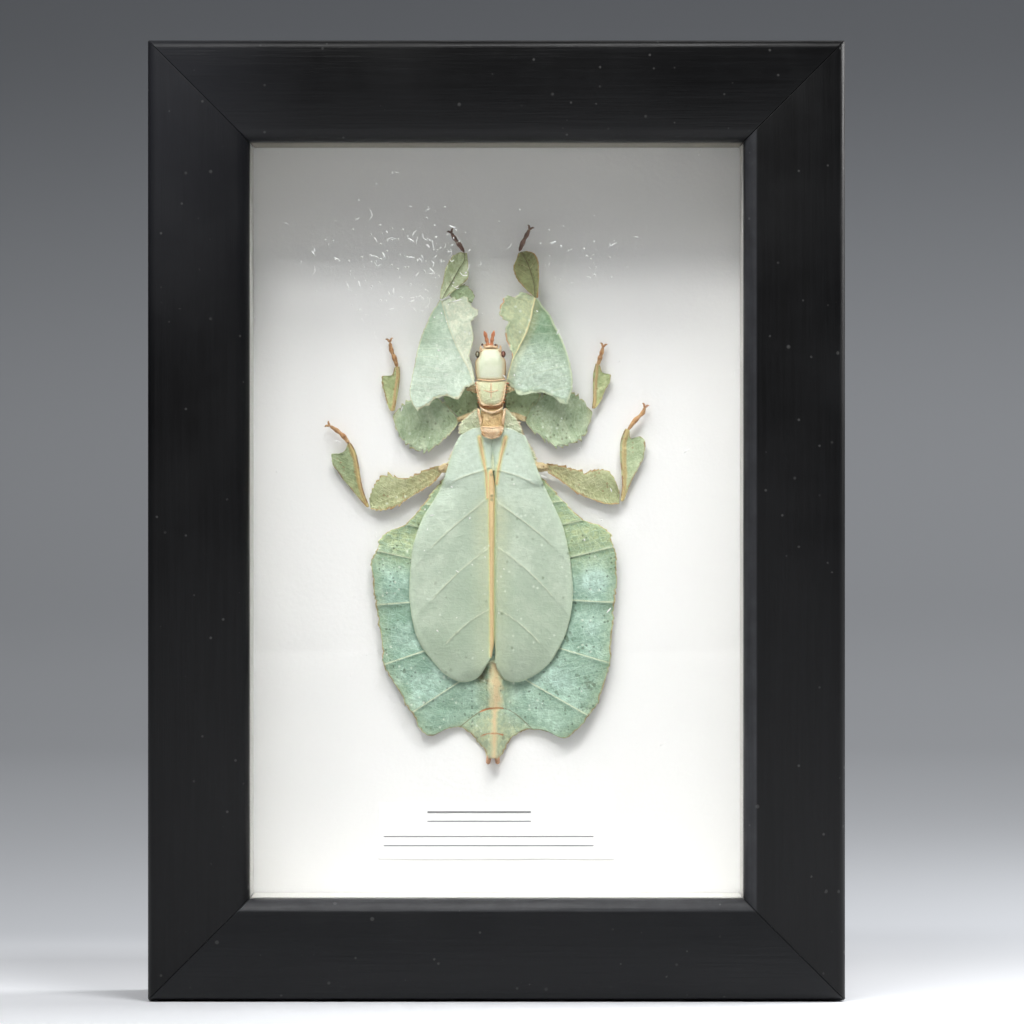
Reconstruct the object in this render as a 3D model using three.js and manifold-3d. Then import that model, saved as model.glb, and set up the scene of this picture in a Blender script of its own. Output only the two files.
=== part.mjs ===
// A framed leaf insect: a dried female leaf insect set on a white board behind glass, in a deep black box frame.
// Millimetres, +Z up. The origin is under the middle of the frame's foot, and the glass faces -Y.

import * as THREE from 'three';
import { mergeVertices } from 'three/addons/utils/BufferGeometryUtils.js';
import Module from 'manifold-3d';

const wasm = await Module();
wasm.setup();

// Driving dimensions of the case. Depths are counted from the front face.
const gap = 0.3;                // between pieces that touch
const sightWidth = 95.6;        // the opening that shows, for a 6 by 4 inch pane
const sightHeight = 146.4;
const railWidth = 19.6;
const caseDepth = 32;
const lipWidth = 3;             // how far the rail reaches over the glass
const lipDepth = 4.2;
const bevel = 1.6;              // outer edge of the moulding
const coveWidth = 2.5;          // hollow that leads down to the opening
const coveDepth = 2.2;
const glassThickness = 2;
const boardDepth = 22;          // front face of the board that carries the insect
const boardThickness = 2;
const panelThickness = 3;
const mitreGap = 0.22;          // taken off each end of a rail, along it
const label = { width: 46.5, height: 11, thickness: 0.5, z: 31.7 };
const tab = { width: 8, length: 9, thickness: 0.8 };
const hanger = { width: 42, height: 9, thickness: 1, z: 146 };

const caseWidth = sightWidth + 2 * railWidth;
const caseHeight = sightHeight + 2 * railWidth;
const middle = caseHeight / 2;
const paneWidth = sightWidth + 2 * lipWidth - 2 * gap;
const paneHeight = sightHeight + 2 * lipWidth - 2 * gap;
const front = -caseDepth / 2;
const boardFront = front + boardDepth;

// The insect's own frame lies on the board: x across, y towards the head, z off the board.
const insectX = -1;             // middle of the insect, from the middle of the case
const insectZ = 102.4;          // hind edge of the thorax above the foot
const membrane = 0.5;           // thickness of a leg lobe or a wing
const coreUnder = 0.3;          // underside of the body above the board

const colours = {
  moulding: 0x202224, glass: 0xe8f0ee, spacer: 0x706e6a, board: 0xf0efe8, panel: 0x6b5236,
  steel: 0xb0b0ae, paper: 0xf6f6f4, head: 0xe6eed2, eye: 0x4a3a34, feeler: 0xdc8c64,
  pronotum: 0xccd3a6, thorax: 0xc8a56e, flank: 0xd8dcae, abdomen: 0x8cb9a5, wing: 0xbfd4bf,
  foreLeg: 0xbcd4bb, midLeg: 0xa3b58f, hindLeg: 0xb4be8c, tarsus: 0x96603f,
};

const parts = new THREE.Group();
const insect = new THREE.Group();
insect.position.set(insectX, boardFront, insectZ);
insect.rotation.x = Math.PI / 2;
parts.add(insect);

function addMesh(group, name, geometry, colour, roughness = 0.6, metalness = 0) {
  const mesh = new THREE.Mesh(geometry, new THREE.MeshStandardMaterial({ color: colour, roughness, metalness }));
  mesh.name = name;
  group.add(mesh);
  return mesh;
}

// Shared shape tools

function welded(geometry) {
  geometry.deleteAttribute('normal');
  geometry.deleteAttribute('uv');
  return mergeVertices(geometry, 1e-5);
}

function toSolid(geometry) {
  const whole = welded(geometry);
  const vertProperties = new Float32Array(whole.attributes.position.array);
  const triVerts = new Uint32Array(whole.index.array);
  return new wasm.Manifold(new wasm.Mesh({ numProp: 3, vertProperties, triVerts }));
}

function fromSolid(solid) {
  const pieces = solid.decompose().sort((a, b) => b.volume() - a.volume());
  const mesh = pieces[0].getMesh();
  const geometry = new THREE.BufferGeometry();
  geometry.setAttribute('position', new THREE.BufferAttribute(mesh.vertProperties, 3));
  geometry.setIndex(new THREE.BufferAttribute(mesh.triVerts, 1));
  return geometry;
}

function fused(geometries, cuts = []) {
  let solid = geometries.map(toSolid).reduce((a, b) => a.add(b));
  for (const cut of cuts) {
    solid = solid.subtract(toSolid(cut));
  }
  return fromSolid(solid);
}

// A smooth curve through points, which passes point k at t = k.
function through(points) {
  const corners = points.map(([x, y, z = 0]) => new THREE.Vector3(x, y, z));
  const curve = new THREE.CatmullRomCurve3(corners, false, 'centripetal');
  return t => curve.getPoint(t / (points.length - 1));
}

function signedVolume(positions, index) {
  const [a, b, c] = [new THREE.Vector3(), new THREE.Vector3(), new THREE.Vector3()];
  let sum = 0;
  for (let i = 0; i < index.length; i += 3) {
    a.fromArray(positions, 3 * index[i]);
    b.fromArray(positions, 3 * index[i + 1]);
    c.fromArray(positions, 3 * index[i + 2]);
    sum += a.dot(b.cross(c));
  }
  return sum;
}

// A thin closed plate over a grid. place(column, row) gives x, y, underside and top of one grid point,
// and both faces take the same grid, so they are split into triangles alike.
function plate(columns, rows, place) {
  const grid = new THREE.PlaneGeometry(1, 1, columns.length - 1, rows.length - 1);
  const count = columns.length * rows.length;
  const points = rows.flatMap(row => columns.map(column => place(column, row)));
  const top = points.flatMap(p => [p.x, p.y, p.top]);
  const under = points.flatMap(p => [p.x, p.y, p.under]);
  const upper = [...grid.index.array];
  const lower = [...upper].reverse().map(i => i + count);
  const wide = columns.length;
  const edge = [];
  columns.forEach((_, i) => edge.push(i));
  rows.slice(1).forEach((_, j) => edge.push((j + 2) * wide - 1));
  columns.slice(1).forEach((_, i) => edge.push(rows.length * wide - 2 - i));
  rows.slice(2).forEach((_, j) => edge.push((rows.length - 2 - j) * wide));
  const rim = edge.flatMap((a, k) => {
    const b = edge[(k + 1) % edge.length];
    return [a, b, b + count, a, b + count, a + count];
  });
  const positions = [...top, ...under];
  let index = [...upper, ...lower, ...rim];
  if (signedVolume(positions, index) < 0) {
    index = index.reverse();
  }
  const geometry = new THREE.BufferGeometry();
  geometry.setAttribute('position', new THREE.Float32BufferAttribute(positions, 3));
  geometry.setIndex(index);
  return geometry;
}

// A leaf-like lobe from rows of [left edge, rib, right edge]. The rib, and the rows named as veins, stand up
// as ridges, every second row may push a tooth out of the edges, and hem(s) lengthens the first row.
function leaf({
  rows, under, thick = () => membrane, rib = 0.35, flank = 0.12, spread = [0.55, 1],
  steps = 2, veins = [], vein = 0.25, veinHalf = 0.14, teeth = 0, hem = null,
}) {
  const [left, ridge, right] = [0, 1, 2].map(i => through(rows.map(row => row[i])));
  const last = rows.length - 1;
  const shares = [flank, ...spread];
  const columns = [...shares.map(s => -s).reverse(), 0, ...shares];
  const stops = Array.from({ length: last * steps + 1 }, (_, i) => i / steps);
  veins.forEach(v => stops.push(v - veinHalf, v + veinHalf));
  stops.sort((a, b) => a - b);
  const back = ridge(0).sub(ridge(0.5)).normalize();
  return plate(columns, stops, (s, t) => {
    const rail = ridge(t);
    const side = (s < 0 ? left : right)(t);
    const width = side.distanceTo(rail);
    const tooth = Math.abs(s) === 1 && Math.round(t * steps) % 2 === 1 ? teeth / width : 0;
    const point = rail.clone().lerp(side, Math.abs(s) + tooth);
    if (hem && t < 1) {
      point.addScaledVector(back, hem(s) * (1 - t));
    }
    const base = under(point.x, point.y, s, t / last);
    const raised = (s === 0 ? rib : 0) + (veins.includes(t) ? vein : 0);
    return { x: point.x, y: point.y, under: base, top: base + thick(point.x, point.y, s) + raised };
  });
}

// A rounded length of body from sections [y, half width, underside, top], listed from head to tail.
function trunk(sections, centre = 0, sides = 12, fullness = 0.75) {
  const geometry = new THREE.CylinderGeometry(1, 1, 1, sides, sections.length - 1);
  const at = geometry.attributes.position;
  const full = v => Math.sign(v) * Math.abs(v) ** fullness;
  for (let i = 0; i < at.count; i++) {
    const [y, half, low, high] = sections[Math.round((0.5 - at.getY(i)) * (sections.length - 1))];
    const z = (low + high) / 2 + full(at.getZ(i)) * (high - low) / 2;
    at.setXYZ(i, centre + full(at.getX(i)) * half, y, z);
  }
  return geometry;
}

// A tapered round limb along points, with a radius at each.
function limb(points, radii, sides = 8, steps = 2) {
  const path = through(points);
  const rings = (points.length - 1) * steps;
  const geometry = new THREE.CylinderGeometry(1, 1, 1, sides, rings);
  const at = geometry.attributes.position;
  const up = new THREE.Vector3(0, 0, 1);
  for (let i = 0; i < at.count; i++) {
    const t = Math.round((0.5 - at.getY(i)) * rings) / steps;
    const k = Math.min(Math.floor(t), radii.length - 2);
    const radius = THREE.MathUtils.lerp(radii[k], radii[k + 1], t - k);
    const ahead = path(Math.min(t + 0.05, points.length - 1)).sub(path(Math.max(t - 0.05, 0))).normalize();
    const side = ahead.clone().cross(up).normalize();
    const over = ahead.clone().cross(side);
    const point = path(t).addScaledVector(side, at.getX(i) * radius).addScaledVector(over, at.getZ(i) * radius);
    at.setXYZ(i, point.x, point.y, point.z);
  }
  return geometry;
}

// A flat lobe of body wall, with its outline as corner points.
function slab(corners, under, thickness = membrane) {
  const shape = new THREE.Shape(corners.map(([x, y]) => new THREE.Vector2(x, y)));
  const geometry = new THREE.ExtrudeGeometry(shape, { depth: thickness, bevelEnabled: false });
  return geometry.translate(0, 0, under);
}

// Corner points of a saw edge from one point to another, with its teeth on the left hand.
function sawEdge([x0, y0], [x1, y1], count, depth) {
  const length = Math.hypot(x1 - x0, y1 - y0);
  const [nx, ny] = [-(y1 - y0) / length, (x1 - x0) / length];
  return Array.from({ length: 2 * count }, (_, i) => {
    const share = i / (2 * count);
    const out = i % 2 ? depth : 0;
    return [x0 + (x1 - x0) * share + nx * out, y0 + (y1 - y0) * share + ny * out];
  });
}

// The case

const quarter = Math.PI / 2;
const sides = {
  left: { turn: 0, x: -caseWidth / 2, z: 0, length: caseHeight },
  bottom: { turn: -quarter, x: caseWidth / 2, z: 0, length: caseWidth },
  right: { turn: 2 * quarter, x: caseWidth / 2, z: caseHeight, length: caseHeight },
  top: { turn: quarter, x: -caseWidth / 2, z: caseHeight, length: caseWidth },
};

// A mitred length whose section is given as [distance in from the outer edge, depth from the front].
function mitred(section, length) {
  const shape = new THREE.Shape(section.map(([x, y]) => new THREE.Vector2(x, y)));
  const geometry = new THREE.ExtrudeGeometry(shape, { depth: length, bevelEnabled: false });
  const at = geometry.attributes.position;
  for (let i = 0; i < at.count; i++) {
    const cut = at.getX(i) + mitreGap;
    at.setZ(i, at.getZ(i) < length / 2 ? cut : length - cut);
  }
  return geometry;
}

function addAround(prefix, section, colour, roughness) {
  for (const [side, { turn, x, z, length }] of Object.entries(sides)) {
    const mesh = addMesh(parts, prefix + side, mitred(section, length), colour, roughness);
    mesh.position.set(x, front, z);
    mesh.rotation.y = turn;
  }
}

function buildCase() {
  const inner = railWidth - lipWidth;
  const moulding = [
    [0, bevel], [0, caseDepth], [inner, caseDepth], [inner, lipDepth], [railWidth, lipDepth],
    [railWidth, coveDepth], [railWidth - 0.35 * coveWidth, 0.8 * coveDepth],
    [railWidth - 0.8 * coveWidth, 0.4 * coveDepth], [railWidth - coveWidth, 0], [bevel, 0],
  ];
  addAround('frame_', moulding, colours.moulding, 0.45);

  const glassBack = lipDepth + gap + glassThickness;
  const spacer = [
    [inner + gap, glassBack + gap], [inner + gap, boardDepth - gap],
    [railWidth, boardDepth - gap], [railWidth, glassBack + gap],
  ];
  addAround('spacer_', spacer, colours.spacer, 0.7);

  const layers = [
    ['glass', lipDepth + gap, glassThickness, colours.glass, 0.05],
    ['backing_board', boardDepth, boardThickness, colours.board, 0.9],
    ['back_panel', boardDepth + boardThickness + gap, panelThickness, colours.panel, 0.8],
  ];
  for (const [name, depth, thickness, colour, roughness] of layers) {
    const mesh = addMesh(parts, name, new THREE.BoxGeometry(paneWidth, thickness, paneHeight), colour, roughness);
    mesh.position.set(0, front + depth + thickness / 2, middle);
  }

  const card = new THREE.BoxGeometry(label.width, label.thickness, label.height);
  const mesh = addMesh(parts, 'label', card, colours.paper, 0.8);
  mesh.position.set(0, boardFront - gap - label.thickness / 2, label.z);
}

// Steel tabs that hold the panel in, and a toothed hanger riveted to it.
function buildBackFittings() {
  const face = front + boardDepth + boardThickness + 2 * gap + panelThickness;
  const reach = paneWidth / 2 - tab.length / 2;
  const climb = paneHeight / 2 - tab.length / 2;
  const places = [
    [-reach, middle - 38, 0], [-reach, middle + 38, 0], [reach, middle - 38, 0], [reach, middle + 38, 0],
    [0, middle - climb, 1], [0, middle + climb, 1],
  ];
  places.forEach(([x, z, upright], i) => {
    const [w, h] = upright ? [tab.width, tab.length] : [tab.length, tab.width];
    const geometry = new THREE.BoxGeometry(w, tab.thickness, h);
    const mesh = addMesh(parts, `tab_${i + 1}`, geometry, colours.steel, 0.35, 0.9);
    mesh.position.set(x, face + tab.thickness / 2, z);
  });

  const half = hanger.width / 2;
  const low = hanger.z - hanger.height / 2;
  const teeth = sawEdge([-half, low], [half, low], 10, 1.6);
  const strip = slab([...teeth, [half, low], [half, low + hanger.height], [-half, low + hanger.height]],
    0, hanger.thickness);
  const mesh = addMesh(parts, 'hanger', strip, colours.steel, 0.35, 0.9);
  mesh.rotation.x = Math.PI / 2;
  mesh.position.y = face + hanger.thickness;
}

// Head, feelers and thorax

const eyeRadius = 0.62;
const eyeShape = [0.85, 1.15, 1];
const eyes = { left: [-2.75, 22.9, 4.1], right: [2.3, 22.95, 4.1] };

function eyeball(radius, centre) {
  return new THREE.SphereGeometry(radius, 12, 8).scale(...eyeShape).translate(...centre);
}

function buildHead() {
  const skull = trunk([
    [24.2, 1.3, 2.6, 4.2], [23.6, 1.95, 1.9, 4.9], [22.6, 2.4, 1.3, 5.3], [21.3, 3.05, 0.9, 5.5],
    [19.6, 2.95, 0.9, 5.4], [18.5, 2.75, 1.2, 5.1], [17.95, 2.45, 1.6, 4.7],
  ], -0.2, 16);
  const palps = [-1, 1].map(s => limb([[s * 0.7 - 0.2, 23.6, 3], [s * 1.1 - 0.2, 24.8, 3.2]], [0.45, 0.3], 6));
  const sockets = Object.values(eyes).map(centre => eyeball(eyeRadius + gap, centre));
  addMesh(insect, 'head', fused([skull, ...palps], sockets), colours.head);

  for (const [side, centre] of Object.entries(eyes)) {
    addMesh(insect, `eye_${side}`, welded(eyeball(eyeRadius, centre)), colours.eye, 0.25);
  }

  const feelers = {
    left: [[-0.75, 24.5, 4.2], [-0.95, 25.6, 4.6], [-1.15, 26.6, 4.9], [-1.5, 27.6, 5.1]],
    right: [[0.25, 24.5, 4.2], [0.2, 25.6, 4.6], [0.3, 26.6, 4.9], [0.6, 27.6, 5.1]],
  };
  for (const [side, points] of Object.entries(feelers)) {
    addMesh(insect, `antenna_${side}`, welded(limb(points, [0.36, 0.3, 0.28, 0.24], 8, 2)), colours.feeler);
  }
}

function buildThorax() {
  const neck = trunk([
    [17.6, 2.3, 1, 4.2], [16, 2.35, 0.8, 4.3], [14, 2.1, 0.8, 4.2], [12.95, 1.7, 1, 3.9],
  ], -0.1);
  const shield = trunk([
    [17.6, 2.35, 3.8, 4.8], [17.2, 2.55, 3.7, 5.1], [15.8, 2.4, 3.7, 5.3], [14.5, 2.05, 3.7, 5.2],
    [13.5, 1.5, 3.7, 5], [12.95, 0.8, 3.8, 4.7],
  ], -0.1);
  addMesh(insect, 'prothorax', fused([neck, shield]), colours.pronotum);

  const middleBody = trunk([
    [12.6, 1.8, 1.2, 4.1], [12, 2.3, coreUnder, 4.5], [10.4, 2.4, coreUnder, 4.9], [8.5, 2.35, coreUnder, 4.7],
  ], 0.1);
  const scutellum = trunk([
    [9.3, 2.2, 3.8, 4.9], [8.5, 2.25, 3.8, 5.2], [7.6, 2.1, 3.9, 5.1], [6.9, 1.3, 4, 4.9], [6.3, 0.3, 4.1, 4.6],
  ], 0.1);
  const flanks = [
    [...sawEdge([-6.3, 8.5], [-2.7, 12.3], 6, 0.3), [-1, 12.3], [-1, 8.5]],
    [[1, 8.5], [1, 12.3], ...sawEdge([2.8, 12.3], [5.8, 8.5], 6, 0.3), [5.8, 8.5]],
  ].map(corners => slab(corners, 2.7, 0.6));
  addMesh(insect, 'mesothorax', fused([middleBody, scutellum, ...flanks]), colours.thorax);

  const hindBody = trunk([
    [8.2, 2.6, coreUnder, 2.8], [5, 3, coreUnder, 3], [0.3, 3.2, coreUnder, 2.9],
  ]);
  const wall = slab([
    [-7.9, 0.3], ...sawEdge([-8.4, 1.6], [-5.1, 7], 6, 0.3), [-4.4, 8.1], [4.6, 8.1],
    ...sawEdge([6.2, 7], [8.7, 1.8], 6, 0.3), [8.4, 0.3],
  ], 1.5, 0.6);
  addMesh(insect, 'metathorax', fused([hindBody, wall]), colours.flank);
}

// Abdomen: rows of left edge, middle and right edge, from the thorax to the tail. The rows named as
// sutures lie between the segments.
const abdomenRows = [
  [[-8.8, -0.3], [0, 0], [8.9, -0.2]], [[-10.9, -3.3], [0, -3.3], [11.3, -2.9]],
  [[-13.3, -6.4], [0, -7.3], [14, -5.8]], [[-17, -10.4], [0, -13.7], [18.1, -9.5]],
  [[-21.1, -12.5], [0, -16.9], [22.5, -11.5]], [[-22.6, -15.6], [0, -20.6], [23.9, -14.8]],
  [[-23.6, -18.2], [0, -21.6], [24.6, -18.6]], [[-23.3, -21.6], [0, -22.9], [24.5, -22]],
  [[-22.7, -26.2], [0, -24.5], [24.1, -25.7]], [[-21.6, -32.8], [0, -28.4], [23.6, -32.1]],
  [[-21.1, -37.9], [0, -30.8], [23.1, -37.6]], [[-17.7, -44], [0, -34.7], [21.4, -44]],
  [[-15.7, -47.4], [0, -37.2], [19.1, -48]], [[-12.6, -51.9], [0, -39.6], [14.3, -52.4]],
  [[-8.3, -50.5], [0.1, -43.1], [10.6, -51]], [[-6.1, -50.3], [0.1, -46.5], [6.7, -50.9]],
  [[-3.3, -52.5], [0.2, -51.5], [3.9, -52.4]], [[-1.2, -55.1], [0.3, -54.1], [2.1, -55.4]],
  [[-1, -56.4], [0.3, -56.3], [1.4, -56.4]],
];
const sutures = [2, 3, 5, 8, 10, 12, 15, 16];
const coreHalf = 3.2;           // half width of the thick middle of the abdomen
const coreRise = 1.9;           // how much thicker it is than the leafy sides
const lobeLift = 1.2;           // how far the leafy sides rise off the board

function abdomenUnder(x) {
  return coreUnder + lobeLift * THREE.MathUtils.smoothstep(Math.abs(x), 4, 17);
}

function abdomenThick(x, y, s) {
  return membrane + coreRise * Math.exp(-((x / coreHalf) ** 2)) * (1 - s * s);
}

function buildAbdomen() {
  const body = leaf({
    rows: abdomenRows, under: abdomenUnder, thick: abdomenThick, rib: 0, flank: 0.1,
    spread: [0.25, 0.5, 0.75, 1], steps: 1, veins: sutures, vein: 0.2, veinHalf: 0.2,
  });
  const cerci = [-1, 1].map(s => limb([[0.2 + s * 0.5, -55.6, 1], [0.2 + s * 0.95, -57.6, 1.2]], [0.4, 0.25], 6));
  addMesh(insect, 'abdomen', fused([body, ...cerci]), colours.abdomen);
}

// Forewings: rows of left edge, main vein and right edge, from the shoulder to the tip.
const wings = {
  left: [
    [[-4.8, 7.9], [-2.7, 7.7], [-2.5, 6.7]], [[-7.1, 5], [-2, 4.9], [-0.1, 5.3]],
    [[-8.5, 1.2], [-1.4, 1.6], [0, 2.4]], [[-10.4, -4.1], [-1.1, 0.3], [0.1, 0.4]],
    [[-13.3, -8.8], [-0.9, -1.8], [0.2, -1.6]], [[-15.3, -14.1], [-0.7, -3.5], [0.3, -3.3]],
    [[-16, -19.8], [-0.6, -5.2], [0.4, -5.1]], [[-16.1, -25.1], [-0.4, -10.4], [0.5, -10.2]],
    [[-15.4, -29.9], [-0.3, -14.9], [0.5, -14.7]], [[-14, -34], [-0.1, -21], [0.5, -20.8]],
    [[-11.6, -37.2], [0, -26.9], [0.5, -26.7]], [[-8.8, -40.1], [0, -31.2], [0.5, -31]],
    [[-5.6, -41.4], [0, -33.9], [0.4, -33.7]], [[-2.7, -40.5], [-0.1, -35.5], [0.2, -35.5]],
    [[-0.6, -37.4], [-0.3, -36.6], [0, -36.7]],
  ],
  right: [
    [[2.7, 6.6], [2.9, 7.5], [6, 7.5]], [[0.3, 5.2], [2.2, 4.7], [7.4, 4.7]],
    [[0.4, 2.4], [1.7, 2], [8.6, 1.4]], [[0.5, 0.4], [1.3, 0.2], [11.1, -4.5]],
    [[0.6, -2], [1.2, -2.2], [12.7, -7.8]], [[0.7, -4.3], [1.1, -4.5], [14.1, -11.2]],
    [[0.8, -5.9], [1.2, -6.1], [15.6, -18.8]], [[0.8, -10.2], [1.2, -10.4], [15.9, -23.9]],
    [[0.8, -14.7], [1.2, -14.9], [15.4, -28.9]], [[0.8, -21], [1.2, -21.2], [13.8, -33.5]],
    [[0.8, -27], [1.2, -27.2], [11.9, -37]], [[0.8, -31.4], [1.2, -31.6], [8.8, -39.8]],
    [[0.8, -34.1], [1.1, -34.3], [5.1, -41.4]], [[0.7, -36.1], [0.95, -36.2], [2.6, -40.9]],
    [[0.5, -37.4], [0.75, -37.5], [1.1, -39]],
  ],
};
const wingVeins = [3, 6, 8, 10];
const wingLift = 3.35;          // underside of the wings along the middle of the back
const shoulderLift = 2.6;       // underside of their margins over the thorax
const wingRest = 0.55;          // underside of their margins above the abdomen

function wingUnder(x, y, s) {
  const back = abdomenUnder(x) + abdomenThick(x, y, 0) + wingRest;
  const margin = Math.max(back, shoulderLift * THREE.MathUtils.smoothstep(y, -6, -1));
  return THREE.MathUtils.lerp(wingLift, Math.min(margin, wingLift), s * s);
}

function buildWings() {
  for (const [side, rows] of Object.entries(wings)) {
    const shape = leaf({
      rows, under: wingUnder, rib: 0.3, flank: 0.07, spread: [0.4, 0.7, 1],
      steps: 1, veins: wingVeins, vein: 0.25, veinHalf: 0.15,
    });
    addMesh(insect, `tegmen_${side}`, shape, colours.wing, 0.5);
  }
}

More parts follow.
